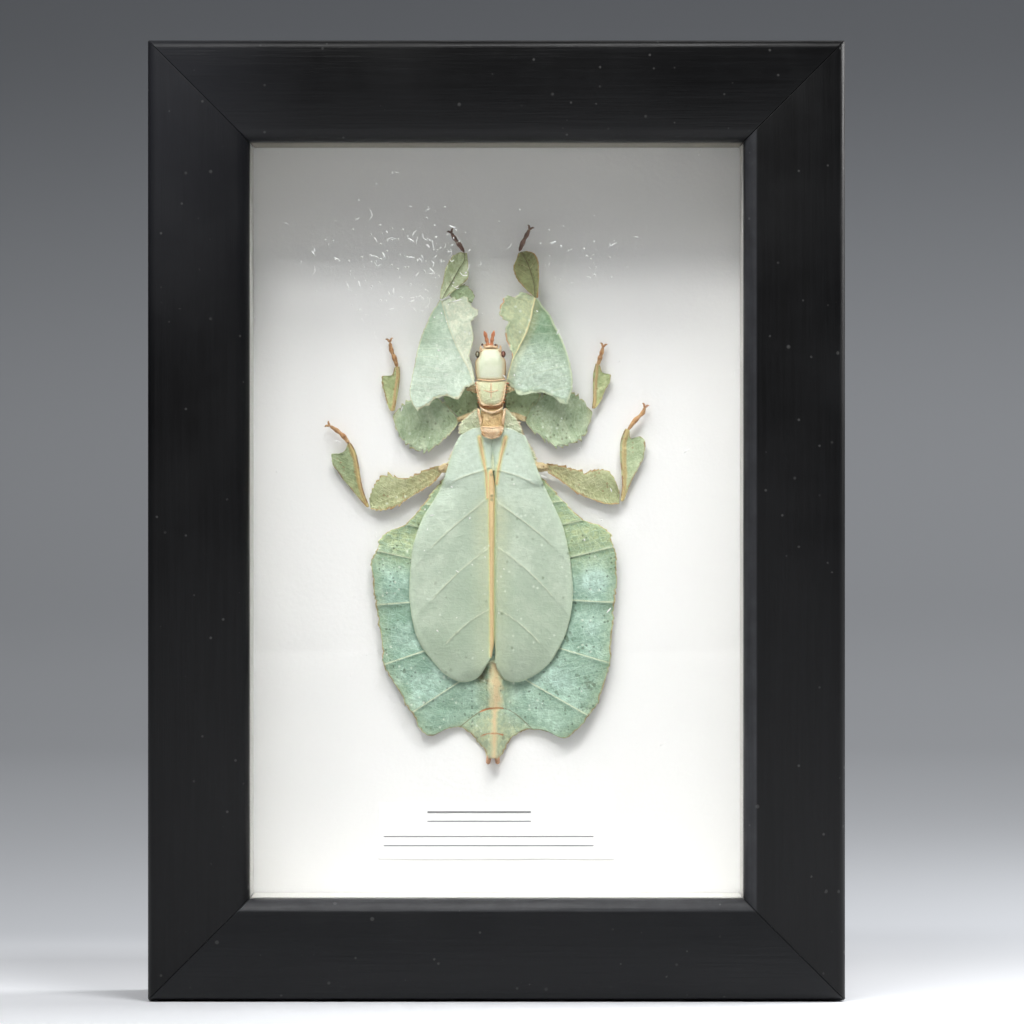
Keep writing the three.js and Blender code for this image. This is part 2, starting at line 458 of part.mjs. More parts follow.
// Legs: each femur and tibia is a leaf from its root outwards, in rows of edge, rib and edge, with the
// height of its underside at the root and at the end. Tarsi run along points of [x, y, height].
const legs = {
  fore_left: {
    colour: colours.foreLeg,
    coxa: { points: [[-2.95, 15.3, 3], [-4.6, 16, 2.95]], radii: [0.75, 0.6] },
    femur: {
      lift: [3.9, 4.9],
      hemmed: true,
      rows: [
        [[-14.6, 11.9], [-3.6, 17.3], [-3.4, 17.9]], [[-16, 14.3], [-4.8, 20.6], [-4, 21.2]],
        [[-15.6, 18.4], [-6.1, 23.2], [-4.2, 23.7]], [[-14.7, 23.1], [-7.4, 25.7], [-3.7, 26.8]],
        [[-13.4, 27.6], [-8.4, 28.1], [-3.7, 29.4]], [[-11.7, 31.2], [-9.1, 30.8], [-2.8, 31.4]],
        [[-10.8, 32.7], [-9.5, 32.4], [-4.2, 33.2]], [[-10.2, 33.5], [-9.7, 33.3], [-8.5, 33.8]],
      ],
    },
    tibia: {
      lift: [4.9, 4.2],
      rows: [
        [[-10.1, 33.9], [-9.6, 33.75], [-8.8, 34.15]], [[-9.9, 35.7], [-8.8, 35.4], [-7.6, 35.2]],
        [[-9.5, 37.5], [-7.8, 37], [-5.9, 36.4]], [[-8.6, 40.6], [-6.4, 39.5], [-4.7, 37.8]],
        [[-7.5, 42.2], [-5.3, 41.4], [-4.6, 40.8]], [[-6.2, 42.9], [-5.3, 42.7], [-4.8, 42.6]],
      ],
      flap: [
        [-7.9, 35], [-7, 34.3], [-5.2, 33.8], [-3.8, 33.7], [-3.4, 34.3], [-4.2, 35.6], [-5.2, 36.4], [-6.4, 36.6],
      ],
    },
    tarsus: [[-5.6, 43.4, 4.6], [-6.4, 44.5, 4.7], [-7.3, 45.7, 4.3], [-7.9, 46.8, 3.8]],
  },
  fore_right: {
    colour: colours.foreLeg,
    coxa: { points: [[2.75, 15.3, 3], [4.5, 16, 2.95]], radii: [0.75, 0.6] },
    femur: {
      lift: [3.9, 4.9],
      hemmed: true,
      rows: [
        [[3.2, 17.8], [3.5, 17.3], [14.4, 13]], [[3.3, 19.4], [3.8, 19.9], [15.7, 14.3]],
        [[3.9, 22], [4.5, 22.7], [15.8, 18]], [[3.4, 24], [5.4, 24.8], [15.2, 21.8]],
        [[2.9, 26.5], [6.2, 26.7], [14.1, 25.4]], [[3.3, 28.8], [7.1, 28.5], [12.8, 28.7]],
        [[1.7, 30.6], [7.7, 30.6], [11.4, 30.8]], [[2.2, 32.9], [8.1, 32.1], [10.2, 32.4]],
        [[4.6, 34.1], [8.3, 33.1], [9.4, 33.4]], [[7.2, 34.3], [8.4, 33.5], [8.9, 33.7]],
      ],
    },
    tibia: {
      lift: [4.9, 4.2],
      rows: [
        [[7.8, 34.6], [8.5, 34], [9.1, 34.05]], [[6.5, 35.8], [8.4, 35.9], [9.2, 36.1]],
        [[4.8, 37.9], [7.9, 38.2], [9.3, 38.6]], [[4.2, 39.6], [7.1, 40.6], [9.2, 41]],
        [[4.9, 41.6], [6.2, 42.3], [8.4, 42.6]], [[5.2, 42.6], [5.8, 42.9], [6.9, 43.1]],
      ],
    },
    tarsus: [[5.6, 43.35, 4.6], [6.1, 44.7, 4.7], [6.9, 46.3, 4.3], [7.5, 47.5, 3.8]],
  },
  mid_left: {
    colour: colours.midLeg,
    coxa: { points: [[-2.6, 11, 1.5], [-6.3, 10.2, 1.6]], radii: [0.65, 0.5] },
    lobe: [[-3, 10.9], [-2.8, 13.2], [-3.3, 14.3], [-5.8, 14.9], [-7.6, 14.6], [-7.8, 12.4], [-6.1, 10.1]],
    femur: {
      lift: [1.3, 0.5],
      rows: [
        [[-6.8, 10.5], [-6.7, 9.9], [-6.6, 9.4]], [[-8, 11.9], [-8.3, 9.6], [-7.5, 8.2]],
        [[-9.3, 13.3], [-10.1, 9.4], [-9.4, 6.4]], [[-11.3, 14.3], [-12.2, 9.3], [-12, 4.4]],
        [[-13.9, 14.5], [-14.2, 9.5], [-14.2, 4.1]], [[-16.1, 13.8], [-16.3, 9.9], [-16.5, 5.3]],
        [[-18, 12.5], [-18.1, 10.4], [-18.3, 7.4]], [[-19.2, 11.3], [-19.3, 11], [-19.4, 10.5]],
      ],
    },
    tibia: {
      lift: [0.5, 0.8],
      rows: [
        [[-20, 12], [-19.5, 11.9], [-19, 12.05]], [[-20.5, 13.3], [-19.2, 13.3], [-18.8, 13.3]],
        [[-21.1, 15.3], [-19, 15.5], [-18.4, 15.5]], [[-21.5, 17.1], [-18.7, 17.3], [-18.1, 17.4]],
        [[-21.5, 18.6], [-18.5, 18.4], [-18, 18.6]], [[-19.6, 18.9], [-18.5, 19.4], [-18, 19.6]],
        [[-19.1, 20.3], [-18.6, 20.5], [-18.1, 20.5]],
      ],
    },
    tarsus: [[-18.6, 20.85, 1.2], [-19.1, 22.3, 1.3], [-19.7, 23.8, 1.3], [-20, 25.5, 1.2]],
  },
  mid_right: {
    colour: colours.midLeg,
    coxa: { points: [[2.85, 11, 1.5], [6.45, 10.3, 1.6]], radii: [0.65, 0.5] },
    lobe: [[3.2, 10.9], [3, 13.2], [3.1, 14.5], [4.8, 15.3], [6.9, 15], [7.4, 12.9], [6.3, 10.2]],
    femur: {
      lift: [1.3, 0.5],
      rows: [
        [[6.9, 10.7], [6.8, 10.1], [6.8, 9.4]], [[7.7, 12.4], [8.5, 9.9], [8.4, 7.6]],
        [[9.7, 14.5], [10.4, 9.8], [10.6, 6.4]], [[11.8, 15.5], [12.4, 9.8], [12.7, 5]],
        [[14, 15.8], [14.4, 9.9], [14.8, 5.1]], [[16, 15.2], [16.4, 10.2], [16.8, 6.1]],
        [[17.9, 13.7], [18.2, 10.7], [18.6, 7.9]], [[19.6, 11.9], [19.7, 11.5], [19.7, 11]],
      ],
    },
    tibia: {
      lift: [0.5, 0.8],
      rows: [
        [[19.7, 12.5], [20.1, 12.4], [20.6, 12.6]], [[19.9, 14.1], [20.3, 14.1], [21.5, 13.9]],
        [[19.9, 16.1], [20.4, 16.1], [22.4, 16.1]], [[19.9, 17.8], [20.5, 17.8], [23.3, 17.7]],
        [[19.9, 19], [20.6, 18.9], [23.5, 18.9]], [[20.1, 19.9], [20.7, 19.8], [21.8, 19.4]],
        [[20.4, 21.1], [20.8, 21], [21.3, 20.7]],
      ],
    },
    tarsus: [[21, 21.3, 1.2], [21.3, 22.3, 1.3], [21.6, 23.3, 1.3], [21.9, 24.5, 1.2]],
  },
  hind_left: {
    colour: colours.hindLeg,
    coxa: { points: [[-8.7, 0.6, 1.9], [-9.7, 0.5, 1.9]], radii: [0.8, 0.6] },
    femur: {
      lift: [1.3, 0.6],
      rows: [
        [[-10.4, 1.1], [-10.1, 0.3], [-9.9, -0.5]], [[-12.2, 0.5], [-12.1, -1.2], [-11.5, -2.3]],
        [[-14.5, -0.4], [-14.4, -2.6], [-13.9, -3.9]], [[-16.5, -1.2], [-16.8, -3.9], [-16.6, -5.5]],
        [[-18.8, -1.2], [-19, -4.9], [-19, -6.9]], [[-20.9, -0.9], [-20.9, -5.7], [-21.1, -7.5]],
        [[-22.5, -1.9], [-22.5, -6.3], [-22.7, -7.6]], [[-24, -5.1], [-23.8, -6.8], [-23.7, -7.4]],
      ],
    },
    tibia: {
      lift: [0.6, 0.9],
      rows: [
        [[-25, -6.6], [-24.6, -6.8], [-24.3, -6.6]], [[-27.4, -3.7], [-25.6, -3.7], [-25.2, -3.7]],
        [[-30.1, -0.3], [-26.3, -0.9], [-25.8, -0.8]], [[-31.3, 1.7], [-26.5, 0.6], [-26, 0.8]],
        [[-31.4, 3.4], [-26.8, 2], [-26.3, 2.3]], [[-30.1, 3.5], [-27.1, 3], [-26.5, 3.2]],
        [[-28.9, 4], [-27.5, 4.2], [-26.9, 4.3]], [[-28.3, 5.3], [-28, 5.4], [-27.6, 5.5]],
      ],
    },
    tarsus: [[-28.15, 5.85, 1.3], [-29.1, 6.9, 1.4], [-30.4, 8, 1.4], [-31.9, 9, 1.3]],
  },
  hind_right: {
    colour: colours.hindLeg,
    coxa: { points: [[9.15, 0.7, 1.9], [10.3, 0.7, 1.9]], radii: [0.8, 0.6] },
    femur: {
      lift: [1.3, 0.6],
      rows: [
        [[10.9, 1.5], [10.9, 0.7], [11.1, -0.3]], [[12.4, 1.3], [12.4, 0.1], [12.6, -1.2]],
        [[14.6, 0.8], [14.6, -1.4], [14.6, -2.6]], [[16.7, 0.2], [16.9, -2.9], [16.7, -4.2]],
        [[18.5, -0.3], [19.3, -4.1], [19.1, -5.3]], [[20.6, 0.5], [21.4, -5], [21.2, -6.1]],
        [[23.4, -0.4], [23.4, -5.5], [23.2, -6.5]], [[25.1, -4], [25, -5.8], [25, -6.4]],
      ],
    },
    tibia: {
      lift: [0.6, 0.9],
      rows: [
        [[25.5, -5.4], [25.9, -5.6], [26.3, -5.3]], [[25.6, -3.1], [26, -3.1], [27.1, -2.9]],
        [[25.5, -0.6], [26.1, -0.4], [28.4, -0.1]], [[25.3, 1.6], [26, 1.8], [29.6, 2.1]],
        [[25.2, 3.3], [26, 3.5], [30.2, 4]], [[25.2, 4.7], [26, 4.8], [30, 5.7]],
        [[25.3, 5.7], [26.1, 5.7], [29.1, 6.8]], [[25.5, 6.6], [26.3, 6.5], [27.3, 6.5]],
        [[26.2, 8.3], [26.6, 8.2], [27.1, 8]],
      ],
    },
    tarsus: [[26.9, 8.55, 1.3], [28.3, 10.1, 1.4], [29.7, 11.5, 1.4], [30.1, 12.6, 1.3]],
  },
};
const cup = 0.35;               // how far the edges of a leg lobe stand above its rib
const clawLength = 0.9;

function hemDepth(s) {
  const share = Math.abs(s);
  return 1.4 * Math.exp(-(((share - 0.25) / 0.12) ** 2)) - 0.5 * Math.exp(-(((share - 0.66) / 0.12) ** 2));
}

function legLeaf({ lift, rows, hemmed }) {
  return leaf({
    rows, teeth: 0.2, steps: 2, flank: 0.12, hem: hemmed ? hemDepth : null,
    spread: hemmed ? [0.25, 0.45, 0.66, 1] : [0.55, 1],
    under: (x, y, s, share) => THREE.MathUtils.lerp(...lift, share) + cup * s * s,
  });
}

function tarsus(points) {
  const [before, end] = points.slice(-2).map(p => new THREE.Vector3(...p));
  const ahead = end.clone().sub(before).normalize();
  const side = new THREE.Vector3(-ahead.y, ahead.x, 0).normalize();
  const claws = [-1, 1].map(hand => {
    const root = end.clone().addScaledVector(ahead, -0.25);
    const bend = end.clone().addScaledVector(ahead, 0.4 * clawLength).addScaledVector(side, hand * 0.35);
    const tip = end.clone().addScaledVector(ahead, 0.7 * clawLength).addScaledVector(side, hand * 0.65);
    tip.z -= 0.5;
    return limb([root, bend, tip].map(v => v.toArray()), [0.25, 0.2, 0.08], 6, 1);
  });
  return fused([limb(points, [0.36, 0.34, 0.34, 0.42], 8, 3), ...claws]);
}

function buildLegs() {
  for (const [name, leg] of Object.entries(legs)) {
    const root = limb(leg.coxa.points, leg.coxa.radii, 10, 2);
    const coxa = leg.lobe ? fused([root, slab(leg.lobe, 0.5, 0.6)]) : welded(root);
    addMesh(insect, `${name}_coxa`, coxa, leg.colour);
    addMesh(insect, `${name}_femur`, legLeaf(leg.femur), leg.colour);
    const tibia = legLeaf(leg.tibia);
    const { flap } = leg.tibia;
    addMesh(insect, `${name}_tibia`, flap ? fused([tibia, slab(flap, 4.3, 0.65)]) : tibia, leg.colour);
    addMesh(insect, `${name}_tarsus`, tarsus(leg.tarsus), colours.tarsus);
  }
}

buildCase();
buildBackFittings();
buildHead();
buildThorax();
buildAbdomen();
buildWings();
buildLegs();

export default parts;
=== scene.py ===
import math
import random

import bmesh
import bpy
from mathutils import Matrix, Vector, noise


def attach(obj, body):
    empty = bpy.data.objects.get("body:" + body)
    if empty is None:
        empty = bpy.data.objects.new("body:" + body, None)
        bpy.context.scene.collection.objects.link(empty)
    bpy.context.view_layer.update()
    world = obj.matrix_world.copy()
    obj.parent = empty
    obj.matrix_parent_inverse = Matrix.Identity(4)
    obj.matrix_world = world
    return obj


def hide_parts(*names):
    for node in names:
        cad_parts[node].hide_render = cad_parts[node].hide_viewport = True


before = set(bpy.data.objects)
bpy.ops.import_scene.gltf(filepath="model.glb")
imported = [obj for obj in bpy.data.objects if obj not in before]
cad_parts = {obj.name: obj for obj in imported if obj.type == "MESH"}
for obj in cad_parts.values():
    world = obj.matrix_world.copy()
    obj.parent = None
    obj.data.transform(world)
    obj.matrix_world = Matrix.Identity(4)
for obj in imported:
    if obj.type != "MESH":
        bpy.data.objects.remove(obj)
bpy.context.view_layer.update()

mm = 0.001
scene = bpy.context.scene
scene.view_settings.view_transform = "Standard"

# The insect lies in its own flat frame: x across, y towards the head, z off the board, all in mm
insect = {"x": -1.0, "z": 102.4, "boardFront": 6.0}
sheetThickness = 0.4


def onBoard(point):
    x, y, z = point
    return Vector(((insect["x"] + x) * mm, (insect["boardFront"] - z) * mm, (insect["z"] + y) * mm))


def inFrame(point):
    return point * mm


def tint(red, green, blue):
    # screen colour, 0 to 255, to the linear values that shaders take
    def linear(value):
        value /= 255
        return value / 12.92 if value <= 0.04045 else ((value + 0.055) / 1.055) ** 2.4

    return (linear(red), linear(green), linear(blue), 1.0)


# Nodes

def addNode(tree, kind, inputs=None, **fields):
    made = tree.nodes.new("ShaderNode" + kind)
    for field, value in fields.items():
        setattr(made, field, value)
    for key, value in (inputs or {}).items():
        if isinstance(value, bpy.types.NodeSocket):
            tree.links.new(value, made.inputs[key])
        else:
            made.inputs[key].default_value = value
    return made


def mixColour(tree, share, first, second):
    return addNode(tree, "Mix", {0: share, 6: first, 7: second}, data_type="RGBA").outputs[2]


def calc(tree, operation, first, second=0.0):
    return addNode(tree, "Math", {0: first, 1: second}, operation=operation).outputs[0]


def fade(tree, value, low, high, start=0.0, end=1.0):
    inputs = {"Value": value, "From Min": low, "From Max": high, "To Min": start, "To Max": end}
    return addNode(tree, "MapRange", inputs, interpolation_type="SMOOTHSTEP").outputs[0]


def newGroup(name, inputs):
    # a group of nodes with the given inputs and one output, Mask
    group = bpy.data.node_groups.new(name, "ShaderNodeTree")
    for label, value in inputs.items():
        socket = group.interface.new_socket(name=label, in_out="INPUT", socket_type="NodeSocketFloat")
        socket.default_value = value
    group.interface.new_socket(name="Mask", in_out="OUTPUT", socket_type="NodeSocketFloat")
    start = group.nodes.new("NodeGroupInput")
    end = group.nodes.new("NodeGroupOutput")
    return group, start.outputs, end.inputs


def maskFrom(tree, group, inputs):
    return addNode(tree, "Group", inputs, node_tree=group).outputs["Mask"]


def makeMottle():
    # soft cloudy patches, Size in mm
    group, given, result = newGroup("mottle", {"Size": 4.0, "Contrast": 0.2})
    place = addNode(group, "TexCoord").outputs["Object"]
    scale = calc(group, "DIVIDE", 1000.0, given["Size"])
    cloud = addNode(group, "TexNoise", {"Vector": place, "Scale": scale, "Detail": 5.0, "Roughness": 0.6})
    low = calc(group, "SUBTRACT", 0.5, given["Contrast"])
    high = calc(group, "ADD", 0.5, given["Contrast"])
    group.links.new(fade(group, cloud.outputs[0], low, high), result["Mask"])
    return group


def makeSpecks():
    # scattered small spots in loose clusters, Size in mm, Amount from 0 to 1
    group, given, result = newGroup("specks", {"Size": 0.8, "Amount": 0.3})
    place = addNode(group, "TexCoord").outputs["Object"]
    scale = calc(group, "DIVIDE", 1000.0, given["Size"])
    cells = addNode(group, "TexVoronoi", {"Vector": place, "Scale": scale, "Randomness": 1.0})
    dot = fade(group, cells.outputs["Distance"], 0.4, 0.22)
    lot = addNode(group, "SeparateColor", {0: cells.outputs["Color"]}).outputs[0]
    chosen = calc(group, "LESS_THAN", lot, given["Amount"])
    cloud = addNode(group, "TexNoise", {"Vector": place, "Scale": 260.0, "Detail": 2.0})
    patch = fade(group, cloud.outputs[0], 0.42, 0.53)
    group.links.new(calc(group, "MULTIPLY", calc(group, "MULTIPLY", dot, chosen), patch), result["Mask"])
    return group


def makeVeinNet():
    # fine net of small veins, Size of a mesh in mm
    group, given, result = newGroup("veinNet", {"Size": 1.4})
    place = addNode(group, "TexCoord").outputs["Object"]
    scale = calc(group, "DIVIDE", 1000.0, given["Size"])
    bend = addNode(group, "TexNoise", {"Vector": place, "Scale": 300.0, "Detail": 2.0}).outputs["Color"]
    shift = addNode(group, "VectorMath", {0: bend, 1: (0.5, 0.5, 0.5)}, operation="SUBTRACT").outputs[0]
    small = addNode(group, "VectorMath", {0: shift, "Scale": 0.0012}, operation="SCALE").outputs[0]
    moved = addNode(group, "VectorMath", {0: place, 1: small}, operation="ADD").outputs[0]
    cells = addNode(group, "TexVoronoi", {"Vector": moved, "Scale": scale}, feature="DISTANCE_TO_EDGE")
    group.links.new(fade(group, cells.outputs["Distance"], 0.1, 0.0), result["Mask"])
    return group


def makeFibres():
    # streaks that run with the side veins of a lobe, Size across them in mm
    group, given, result = newGroup("fibres", {"Size": 0.5})
    flow = addNode(group, "Attribute", attribute_name="flow").outputs["Fac"]
    rib = addNode(group, "Attribute", attribute_name="rib").outputs["Fac"]
    across = calc(group, "DIVIDE", flow, given["Size"])
    place = addNode(group, "CombineXYZ", {0: across, 1: calc(group, "MULTIPLY", rib, 0.35)}).outputs[0]
    streak = addNode(group, "TexNoise", {"Vector": place, "Scale": 1.0, "Detail": 3.0, "Roughness": 0.6})
    group.links.new(fade(group, streak.outputs[0], 0.42, 0.62), result["Mask"])
    return group


def makeSideVeins():
    # thin side veins at even steps, broken up by patches; Spacing and Width in mm
    group, given, result = newGroup("sideVeins", {"Spacing": 2.4, "Width": 0.14})
    place = addNode(group, "TexCoord").outputs["Object"]
    flow = addNode(group, "Attribute", attribute_name="flow").outputs["Fac"]
    wobble = addNode(group, "TexNoise", {"Vector": place, "Scale": 220.0, "Detail": 2.0}).outputs[0]
    even = calc(group, "DIVIDE", flow, given["Spacing"])
    steps = calc(group, "ADD", even, calc(group, "MULTIPLY", wobble, 0.6))
    apart = calc(group, "MULTIPLY", calc(group, "PINGPONG", steps, 0.5), given["Spacing"])
    line = fade(group, apart, given["Width"], 0.0)
    cloud = addNode(group, "TexNoise", {"Vector": place, "Scale": 340.0, "Detail": 2.0}).outputs[0]
    group.links.new(calc(group, "MULTIPLY", line, fade(group, cloud, 0.35, 0.6)), result["Mask"])
    return group


def makeBand():
    # a band of uneven Width, in mm, where Distance is small
    group, given, result = newGroup("band", {"Distance": 1.0, "Width": 0.4})
    place = addNode(group, "TexCoord").outputs["Object"]
    wander = addNode(group, "TexNoise", {"Vector": place, "Scale": 700.0, "Detail": 2.0}).outputs[0]
    edge = calc(group, "MULTIPLY", calc(group, "ADD", wander, 0.5), given["Width"])
    inside = calc(group, "MULTIPLY", edge, 0.35)
    group.links.new(fade(group, given["Distance"], edge, inside), result["Mask"])
    return group


def makeGrain():
    # long faint wood grain under paint, ScaleX and ScaleZ along the two sides of the frame
    group, given, result = newGroup("grain", {"ScaleX": 400.0, "ScaleZ": 20.0})
    place = addNode(group, "SeparateXYZ", {0: addNode(group, "TexCoord").outputs["Object"]}).outputs
    x = calc(group, "MULTIPLY", place[0], given["ScaleX"])
    z = calc(group, "MULTIPLY", place[2], given["ScaleZ"])
    y = calc(group, "MULTIPLY", place[1], 300.0)
    spot = addNode(group, "CombineXYZ", {0: x, 1: y, 2: z}).outputs[0]
    streak = addNode(group, "TexNoise", {"Vector": spot, "Scale": 3.0, "Detail": 4.0, "Roughness": 0.65})
    group.links.new(fade(group, streak.outputs[0], 0.3, 0.75), result["Mask"])
    return group


mottle = makeMottle()
specks = makeSpecks()
veinNet = makeVeinNet()
fibres = makeFibres()
sideVeins = makeSideVeins()
band = makeBand()
grain = makeGrain()


def newMaterial(name):
    material = bpy.data.materials.new(name)
    material.use_nodes = True
    tree = material.node_tree
    shader = tree.nodes["Principled BSDF"]
    return material, tree, shader


def makeTissue(name, look):
    # dry leaf-like skin: clouds and streaks, then tones by place, side veins, fine net, lines and specks
    material, tree, shader = newMaterial(name)

    def mark(attribute):
        return addNode(tree, "Attribute", attribute_name=attribute).outputs["Fac"]

    def cloud(size, contrast):
        return maskFrom(tree, mottle, {"Size": size, "Contrast": contrast})

    def lay(tone, mask, share, colour):
        return mixColour(tree, calc(tree, "MULTIPLY", mask, share), tone, tint(*colour))

    patch = look.get("patch", 4.0)
    tone = mixColour(tree, cloud(patch, 0.1), tint(*look["base"]), tint(*look["pale"]))
    tone = lay(tone, cloud(patch * 2.7, 0.08), 0.5, look["deep"])
    for attribute, low, high, colour, share in look.get("tones", []):
        tone = lay(tone, fade(tree, mark(attribute), low, high), share, colour)
    streaks = maskFrom(tree, fibres, {"Size": look.get("streak", 0.55)})
    tone = lay(tone, streaks, look.get("fibres", 0.3), look["pale"])
    fine = cloud(1.1, 0.1)
    grit = cloud(0.45, 0.12)
    tone = lay(tone, fine, look.get("fine", 0.35), look["deep"])
    tone = lay(tone, grit, look.get("grit", 0.3), look["deep"])
    if "nerve" in look:
        spacing, colour, share = look["nerve"]
        nerves = maskFrom(tree, sideVeins, {"Spacing": spacing, "Width": 0.16})
        tone = lay(tone, nerves, share, colour)
    net = maskFrom(tree, veinNet, {"Size": look.get("mesh", 1.3)})
    tone = lay(tone, net, look.get("net", 0.15), look["pale"])
    for attribute, width, colour, share in look.get("lines", []):
        mask = maskFrom(tree, band, {"Distance": mark(attribute), "Width": width})
        tone = lay(tone, mask, share, colour)
    if "burn" in look:
        width, colour, share = look["burn"]
        edge = maskFrom(tree, band, {"Distance": mark("rim"), "Width": width})
        edge = calc(tree, "MULTIPLY", edge, cloud(1.6, 0.08))
        if "burnWhere" in look:
            attribute, low, high = look["burnWhere"]
            edge = calc(tree, "MULTIPLY", edge, fade(tree, mark(attribute), low, high))
        tone = lay(tone, edge, share, colour)
    for size, amount, colour, share in look.get("specks", []):
        dots = maskFrom(tree, specks, {"Size": size, "Amount": amount})
        tone = lay(tone, dots, share, colour)
    tree.links.new(tone, shader.inputs["Base Color"])
    height = calc(tree, "ADD", calc(tree, "ADD", net, streaks), fine)
    bump = addNode(tree, "Bump", {"Height": height, "Strength": look.get("bump", 0.5), "Distance": 0.00012})
    tree.links.new(bump.outputs[0], shader.inputs["Normal"])
    gloss = look.get("gloss", 0.5)
    tree.links.new(fade(tree, fine, 0.0, 1.0, gloss, gloss + 0.15), shader.inputs["Roughness"])
    return material


# looks of the insect's skin: colours from 0 to 255; tones run by a mark from low to high, lines follow one
cream = (238, 234, 196)
brown = (150, 98, 58)
darkSpeck = (78, 84, 52)
paleSpeck = (232, 240, 226)

